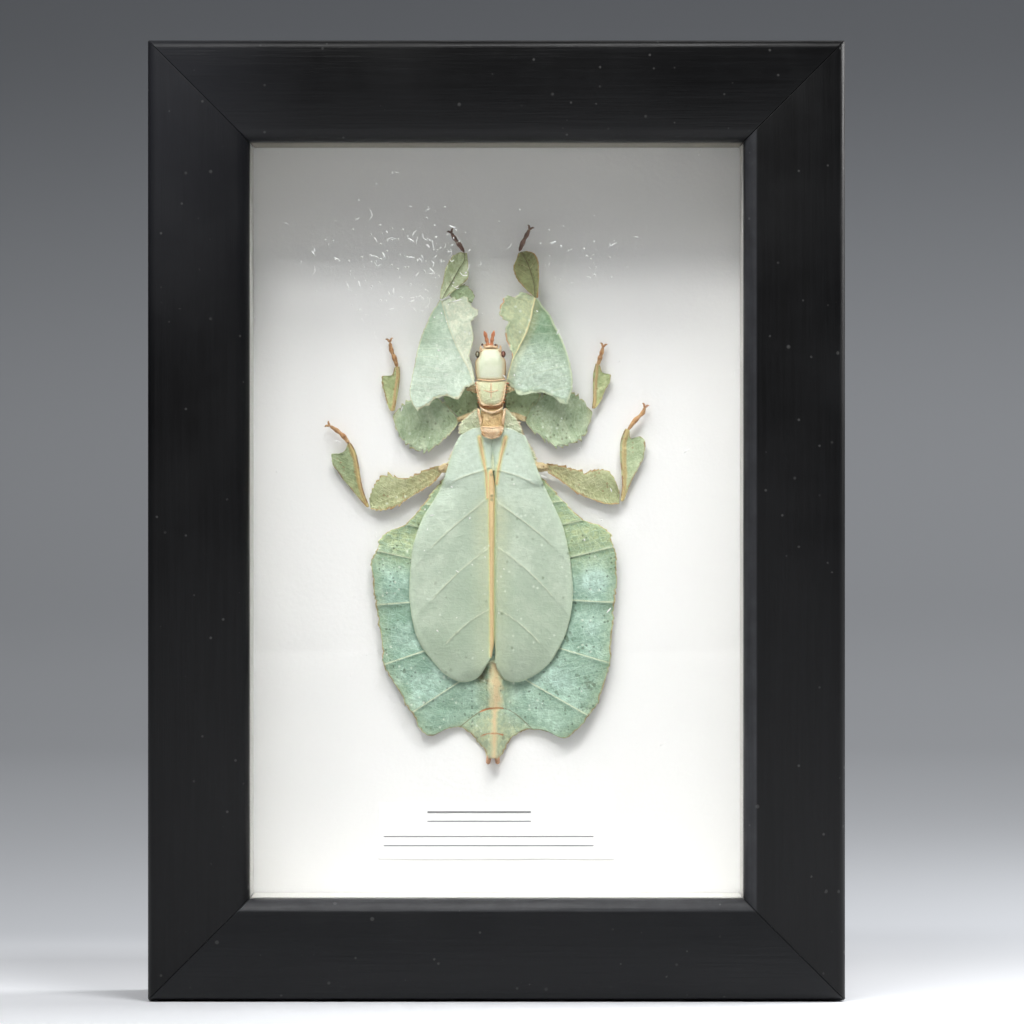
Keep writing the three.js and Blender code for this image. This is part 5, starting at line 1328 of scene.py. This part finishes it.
wingFinish = {
    "veins": [3, 6, 8, 10], "lift": wingTop, "across": 90, "along": 224, "ripple": 0.2, "rippleSize": 6.0,
    "ribRise": 0.0, "overlap": (0.0, 0.0), "veinRise": 0.1, "step": 0.05, "slant": 0.0, "teeth": 0.0,
    "wander": 0.1, "bow": 0.25, "fadeOut": 2.0,
}


# the two short feelers of the tail and the ring between them: points and radii
cerci = ([(0.5, -55.2, 1.1), (0.85, -56.6, 1.2), (0.98, -57.6, 1.2)], [0.55, 0.5, 0.38])
tailRing = ([(0.25, -53.6, 1.35), (0.25, -54.8, 1.4), (0.25, -56.2, 1.2)], [0.3, 0.75, 0.55])
tailMiddle = 0.25


def mirrored(points, hand, middle):
    # points given from a middle line, on its left (-1) or right (1)
    return [(middle + hand * x, y, z) for x, y, z in points]


def buildAbdomen():
    finishPiece(makeLeaf(abdomen), "abdomenLeaf", ["abdomen"], "abdomen")
    tail = bmesh.new()
    points, radii = cerci
    for hand in (-1, 1):
        addLimb(tail, mirrored(points, hand, tailMiddle), radii)
    addLimb(tail, *tailRing)
    markPlain(tail)
    finishPiece(tail, "cerci", ["abdomen"], "cercus")


def buildWings():
    for side, shape in wings.items():
        bm = makeLeaf({**wingFinish, **shape})
        finishPiece(bm, side + "Wing", ["tegmen_" + side], "wing")


buildAbdomen()
buildWings()
print("abdomen and wings ready")


# Head and thorax

# sections of a trunk: y, half width, underside and top
head = {
    "sections": [
        (24.3, 1.1, 2.8, 4.0), (23.8, 2.0, 1.9, 4.9), (22.7, 2.5, 1.3, 5.3), (21.3, 3.0, 0.9, 5.5),
        (19.6, 2.98, 0.9, 5.4), (18.5, 2.85, 1.2, 5.2), (17.7, 2.7, 1.6, 4.9),
    ],
    "eyes": {"left": (-2.75, 22.9, 4.1), "right": (2.3, 22.95, 4.1)},
    "feelerRadii": [0.42, 0.34, 0.34, 0.34, 0.3],
    "feelers": {
        "left": [
            (-0.55, 23.9, 4.2), (-0.75, 24.8, 4.5), (-0.95, 25.7, 4.7), (-1.2, 26.7, 4.9),
            (-1.5, 27.5, 5.1),
        ],
        "right": [
            (-0.05, 23.9, 4.2), (0.0, 24.8, 4.6), (0.1, 25.7, 4.8), (0.3, 26.7, 5.0), (0.52, 27.6, 5.1),
        ],
    },
}
neckSections = [(18.0, 2.4, 1, 4.4), (16, 2.8, 0.8, 4.4), (14, 2.6, 0.8, 4.5), (11.6, 2.1, 1, 4.5)]
pronotumSections = [
    (17.9, 2.8, 3.6, 4.8), (17.2, 2.85, 3.5, 5.05), (15.8, 2.65, 3.5, 5.25), (14.5, 2.4, 3.5, 5.2),
    (13.5, 2.1, 3.5, 5.0), (12.9, 1.5, 3.6, 4.8),
]
mesonotumSections = [
    (12.8, 1.8, 1.2, 4.4), (11.8, 2.25, 0.5, 4.6), (10.4, 2.35, 0.4, 4.8), (8.8, 2.4, 0.4, 4.7),
    (8.0, 2.2, 0.6, 4.4),
]
scutellumSections = [
    (8.9, 2.0, 3.6, 4.8), (8.4, 2.3, 3.6, 5.15), (7.7, 2.15, 3.6, 5.2), (7.0, 1.5, 3.7, 5.0),
    (6.2, 0.5, 3.9, 4.6),
]
# raised edges of the thorax plates: node, finish, radius and lines
thoraxRidges = {
    "pronotumEdge": ("prothorax", "peachRidge", 0.17, [
        [(-3.1, 18.0, 4.75), (-0.1, 17.7, 5.0), (2.9, 18.0, 4.75)],
        [(-3.1, 17.8, 4.7), (-2.8, 15.8, 4.8), (-2.45, 14.2, 4.75), (-1.9, 13.2, 4.7), (-0.1, 12.8, 4.75)],
        [(2.9, 17.8, 4.7), (2.6, 15.8, 4.8), (2.25, 14.2, 4.75), (1.7, 13.2, 4.7), (-0.1, 12.8, 4.75)],
    ]),
    "pronotumCross": ("prothorax", "peachRidge", 0.13, [
        [(-0.1, 17.4, 5.02), (-0.1, 16.2, 5.2), (-0.1, 14.0, 5.12)],
        [(-1.7, 15.9, 5.12), (-0.1, 15.5, 5.22), (1.5, 15.9, 5.12)],
    ]),
    "collar": ("mesothorax", "peachRidge", 0.2, [
        [(-2.4, 12.7, 4.3), (-1.4, 11.9, 4.6), (0.05, 11.45, 4.75), (1.4, 11.9, 4.6), (2.4, 12.7, 4.3)],
    ]),
    "mesonotumRails": ("mesothorax", "peachRidge", 0.24, [
        [(-2.6, 12.4, 4.2), (-2.5, 11.2, 4.55), (-2.2, 10.0, 4.65), (-2.2, 8.8, 4.6)],
        [(2.6, 12.4, 4.2), (2.5, 11.2, 4.55), (2.3, 10.0, 4.65), (2.3, 8.8, 4.6)],
    ]),
    "scutellumEdge": ("mesothorax", "peachRidge", 0.16, [
        [(-2.2, 8.7, 4.85), (0.05, 8.5, 5.1), (2.3, 8.7, 4.85)],
        [(-2.2, 8.6, 4.8), (-1.5, 7.0, 4.75), (0.1, 6.3, 4.7)],
        [(2.3, 8.6, 4.8), (1.6, 7.0, 4.75), (0.1, 6.3, 4.7)],
    ]),
    "scutellumSpots": ("mesothorax", "neck", 0.2, [
        [(-1.7, 7.9, 5.0), (-1.75, 7.3, 4.98), (-1.1, 6.95, 4.98)],
        [(1.75, 7.9, 5.0), (1.8, 7.35, 4.98), (1.2, 7.1, 4.98)],
    ]),
}

# sheets at both sides of the thorax and under the roots of the wings
flankShape = {
    "across": 40, "along": 60, "seed": 30.0, "teeth": 0.4, "pitch": 0.8, "ribRise": 0.0, "ripple": 0.1,
    "overlap": (0.0, 0.0),
}
flanks = {
    "mesothoraxLeft": {
        "node": "mesothorax", "lift": slope(2.9, 2.2, 0.1),
        "rows": [
            [(-2.9, 12.4), (-2.3, 12.2), (-1.0, 12.1)], [(-4.3, 11.2), (-2.9, 11.1), (-1.0, 11.0)],
            [(-5.6, 10), (-3.6, 10), (-1.0, 10)], [(-6.3, 8.8), (-3.9, 8.9), (-1.0, 9)],
            [(-6.2, 7.2), (-3.9, 7.4), (-1.0, 7.6)],
        ],
    },
    "mesothoraxRight": {
        "node": "mesothorax", "lift": slope(2.9, 2.2, 0.1),
        "rows": [
            [(1.0, 12.1), (2.4, 12.2), (2.9, 12.4)], [(1.0, 11.0), (2.8, 11.1), (4.0, 11.2)],
            [(1.0, 10), (3.3, 10), (5.2, 10)], [(1.0, 9), (3.6, 8.9), (5.7, 8.8)],
            [(1.0, 7.6), (3.6, 7.4), (6.2, 7.2)],
        ],
    },
    "metathoraxWall": {
        "node": "metathorax", "lift": lambda x, y, s, share: 2.2 + 1.1 * bell(x, 2.8),
        "rows": [
            [(-4.6, 8.2), (0, 8.2), (4.9, 8.2)], [(-5.2, 6.7), (0, 6.7), (6.2, 6.7)],
            [(-6.8, 5.2), (0, 5), (7.6, 4.9)], [(-8.1, 2.9), (0, 3), (8.6, 2.9)],
            [(-8.5, 1.4), (0, 1.4), (8.8, 1.4)], [(-8.6, 0.1), (0, 0.1), (8.7, 0.1)],
        ],
    },
}


def markTrunk(bm, sections, centre):
    # rim is the distance to the outline seen from above, rib the distance to the middle line
    markPlain(bm)
    rim, rib = bm.verts.layers.float["rim"], bm.verts.layers.float["rib"]
    levels = [section[0] for section in sections]
    for vert in bm.verts:
        k = 0
        while k < len(levels) - 2 and vert.co.y < levels[k + 1]:
            k += 1
        share = min(max((levels[k] - vert.co.y) / (levels[k] - levels[k + 1]), 0), 1)
        half = sections[k][1] + (sections[k + 1][1] - sections[k][1]) * share
        ends = min(abs(levels[0] - vert.co.y), abs(vert.co.y - levels[-1])) + 0.1
        vert[rim] = min(max(half - abs(vert.co.x - centre), 0), ends)
        vert[rib] = abs(vert.co.x - centre)


def buildTrunk(name, sections, centre, node, material, relief=None, blunt=2.6):
    bm = bmesh.new()
    addTrunk(bm, sections, centre, blunt)
    markTrunk(bm, sections, centre)
    for vert in bm.verts:
        x, y, z = vert.co
        if relief and z > 2.5:
            vert.co.z += relief(x - centre, y)
        vert.co.z += 0.04 * wave(x, y, 0.7, 2.0)
    finishPiece(bm, name, [node], material)


def headRelief(x, y):
    # a faint seam along the crown, and cheeks that fall away beside the raised plate
    return -0.06 * bell(x, 0.14) * smooth(22, 20, y) - 0.3 * smooth(1.9, 2.3, abs(x)) * smooth(24, 22, y)


def mesonotumRelief(x, y):
    return -0.3 * bell(x, 1.5) * smooth(8.5, 10, y) + 0.06 * math.cos(9 * x) - 0.3 * bell(y - 12.2, 0.3)


def buildRidges():
    for name, (node, finish, radius, lines) in thoraxRidges.items():
        bm = bmesh.new()
        for line in lines:
            addLimb(bm, line, [radius, radius * 1.1, radius], around=8, rings=10 * len(line), knots=0.12)
        markPlain(bm)
        finishPiece(bm, name, [node], finish)


# small parts of the face, from its middle line: points and radii
face = {
    "muzzle": ([(0.6, 23.6, 3.4), (1.0, 24.4, 3.6), (1.3, 24.9, 3.4)], [0.5, 0.42, 0.25]),
    "horn": ([(1.75, 23.3, 4.5), (1.95, 24.1, 4.5), (1.9, 24.7, 4.3)], [0.34, 0.24, 0.1]),
}
faceMiddle = -0.2
brow = ([(-1.6, 24.15, 4.6), (-0.2, 24.4, 4.8), (1.2, 24.15, 4.6)], [0.22, 0.3, 0.22])
hollows = [(-1.8, 24.8, 4.5), (-0.45, 24.5, 4.5), (0.75, 24.7, 4.5)]
eyeShape = {"radius": 0.58, "stretch": (0.8, 1.15, 1)}
spines = {"count": 7, "first": 17.3, "pitch": 0.62, "reach": 3.2, "narrowing": 0.12, "radii": [0.22, 0.08]}


def buildFace():
    bm = bmesh.new()
    for hand in (-1, 1):
        for points, radii in face.values():
            addLimb(bm, mirrored(points, hand, faceMiddle), radii)
    addLimb(bm, *brow)
    markPlain(bm)
    finishPiece(bm, "mouthparts", ["head"], "peachRidge")
    bm = bmesh.new()
    for place in hollows:
        made = bmesh.ops.create_icosphere(bm, subdivisions=2, radius=0.24)["verts"]
        bmesh.ops.translate(bm, verts=made, vec=place)
    markPlain(bm)
    finishPiece(bm, "faceHollows", ["head"], "tarsusDark")


def buildSpines():
    # short reddish spines along both sides of the prothorax
    bm = bmesh.new()
    for hand, centre in ((-1, -0.15), (1, 0.05)):
        for i in range(spines["count"]):
            y = spines["first"] - i * spines["pitch"]
            reach = spines["reach"] - i * spines["narrowing"]
            root = (centre + hand * (reach - 0.5), y, 4.1)
            tip = (centre + hand * (reach + 0.2), y - 0.12, 4.3)
            addLimb(bm, [root, tip], spines["radii"], around=6, rings=6)
    markPlain(bm)
    finishPiece(bm, "prothoraxSpines", ["prothorax"], "antenna")


def buildBody():
    buildTrunk("headCapsule", head["sections"], -0.2, "head", "head", headRelief, 4.0)
    buildFace()
    for side, centre in head["eyes"].items():
        bm = bmesh.new()
        bmesh.ops.create_uvsphere(bm, u_segments=24, v_segments=16, radius=eyeShape["radius"])
        bmesh.ops.scale(bm, verts=bm.verts, vec=eyeShape["stretch"])
        bmesh.ops.translate(bm, verts=bm.verts, vec=centre)
        finishPiece(bm, side + "Eye", ["eye_" + side], side + "Eye")
    for side, points in head["feelers"].items():
        bm = bmesh.new()
        addLimb(bm, points, head["feelerRadii"], knots=0.14, rings=48)
        markPlain(bm)
        finishPiece(bm, side + "Antenna", ["antenna_" + side], "antenna")
    buildTrunk("neck", neckSections, -0.1, "prothorax", "neck")
    buildTrunk("pronotum", pronotumSections, -0.1, "prothorax", "pronotum", blunt=4.5)
    buildTrunk("mesonotum", mesonotumSections, 0.1, "mesothorax", "mesonotum", mesonotumRelief)
    buildTrunk("scutellum", scutellumSections, 0.1, "mesothorax", "peachRidge")
    buildRidges()
    buildSpines()
    for name, flank in flanks.items():
        bm = makeLeaf({**flankShape, **flank})
        finishPiece(bm, name, [flank["node"]], "flank")


buildBody()
print("head and thorax ready")


# Floor, light and camera

def makeSweepPaper():
    # pale paper with painted shade: darker on the floor behind the frame, up the bend and softly towards the
    # top
    material, tree, shader = newMaterial("sweepPaper")
    place = addNode(tree, "SeparateXYZ", {0: addNode(tree, "TexCoord").outputs["Object"]}).outputs
    floor = mixColour(tree, fade(tree, place[1], -0.02, 0.2), tint(246, 248, 252), tint(196, 199, 204))
    low = mixColour(tree, fade(tree, place[2], 0.0, 0.06), floor, tint(182, 185, 190))
    tone = mixColour(tree, fade(tree, place[2], 0.1, 0.36), low, tint(122, 125, 130))
    tree.links.new(tone, shader.inputs["Base Color"])
    shader.inputs["Roughness"].default_value = 0.9
    return material


def buildStage():
    stage = {"half": 4.0, "front": -3.0, "back": 1.3, "bend": 0.6, "top": 3.0}
    bm = bmesh.new()
    bmesh.ops.create_grid(bm, x_segments=2, y_segments=60, size=0.5)
    for vert in bm.verts:
        share = vert.co.y + 0.5
        flat = stage["back"] - stage["front"]
        arc = stage["bend"] * math.pi / 2
        along = share * (flat + arc + stage["top"])
        x = vert.co.x * 2 * stage["half"]
        if along < flat:
            vert.co = Vector((x, stage["front"] + along, 0))
        elif along < flat + arc:
            angle = (along - flat) / stage["bend"]
            y = stage["back"] + stage["bend"] * math.sin(angle)
            vert.co = Vector((x, y, stage["bend"] * (1 - math.cos(angle))))
        else:
            vert.co = Vector((x, stage["back"] + stage["bend"], stage["bend"] + along - flat - arc))
    bmesh.ops.translate(bm, verts=bm.verts, vec=(0, 0, -0.0003))
    mesh = bpy.data.meshes.new("studioSweep")
    bm.to_mesh(mesh)
    bm.free()
    mesh.shade_smooth()
    sweep = bpy.data.objects.new("studioSweep", mesh)
    scene.collection.objects.link(sweep)
    mesh.materials.append(makeSweepPaper())


def addAreaLight(name, place, aim, width, depth, power, colour=(1, 1, 1)):
    data = bpy.data.lights.new(name, "AREA")
    data.shape = "RECTANGLE"
    data.size, data.size_y = width, depth
    data.energy = power
    data.color = colour
    lamp = bpy.data.objects.new(name, data)
    lamp.location = place
    lamp.rotation_euler = (Vector(aim) - Vector(place)).to_track_quat("-Z", "Y").to_euler()
    scene.collection.objects.link(lamp)


# place, aim, width, depth, power in watts and, where it isn't white, colour
lamps = {
    "keyFront": ((-0.14, -0.5, 0.75), (-0.14, -0.48, 0.0), 0.22, 0.14, 2.38),
    "keyNear": ((0.13, -0.3, 0.75), (0.13, -0.28, 0.0), 0.22, 0.14, 2.58),
    "keyLeft": ((-0.45, -0.45, 0.9), (-0.1, 0.0, 0.05), 0.25, 0.25, 2.6),
    "frontFill": ((0.0, -1.3, 0.35), (0.0, 0.0, 0.09), 0.4, 0.3, 0.13, (1.0, 0.94, 0.84)),
    "floorRight": ((0.5, 0.15, 0.35), (0.2, 0.15, 0.0), 0.3, 0.3, 3.0),
    "backWash": ((0.4, 0.9, 1.1), (0.3, 1.6, 0.0), 1.4, 0.4, 7.4),
}


def buildCamera():
    view = {"place": (0.003, -1.206, 0.0944), "lens": 216.6, "sensor": 36.0}
    data = bpy.data.cameras.new("photoCamera")
    data.lens, data.sensor_width = view["lens"], view["sensor"]
    data.clip_start, data.clip_end = 0.01, 20
    camera = bpy.data.objects.new("photoCamera", data)
    camera.location = view["place"]
    camera.rotation_euler = (math.pi / 2, 0, 0)
    scene.collection.objects.link(camera)
    scene.camera = camera


buildStage()
for name, settings in lamps.items():
    addAreaLight(name, *settings)
buildCamera()
print("stage ready")
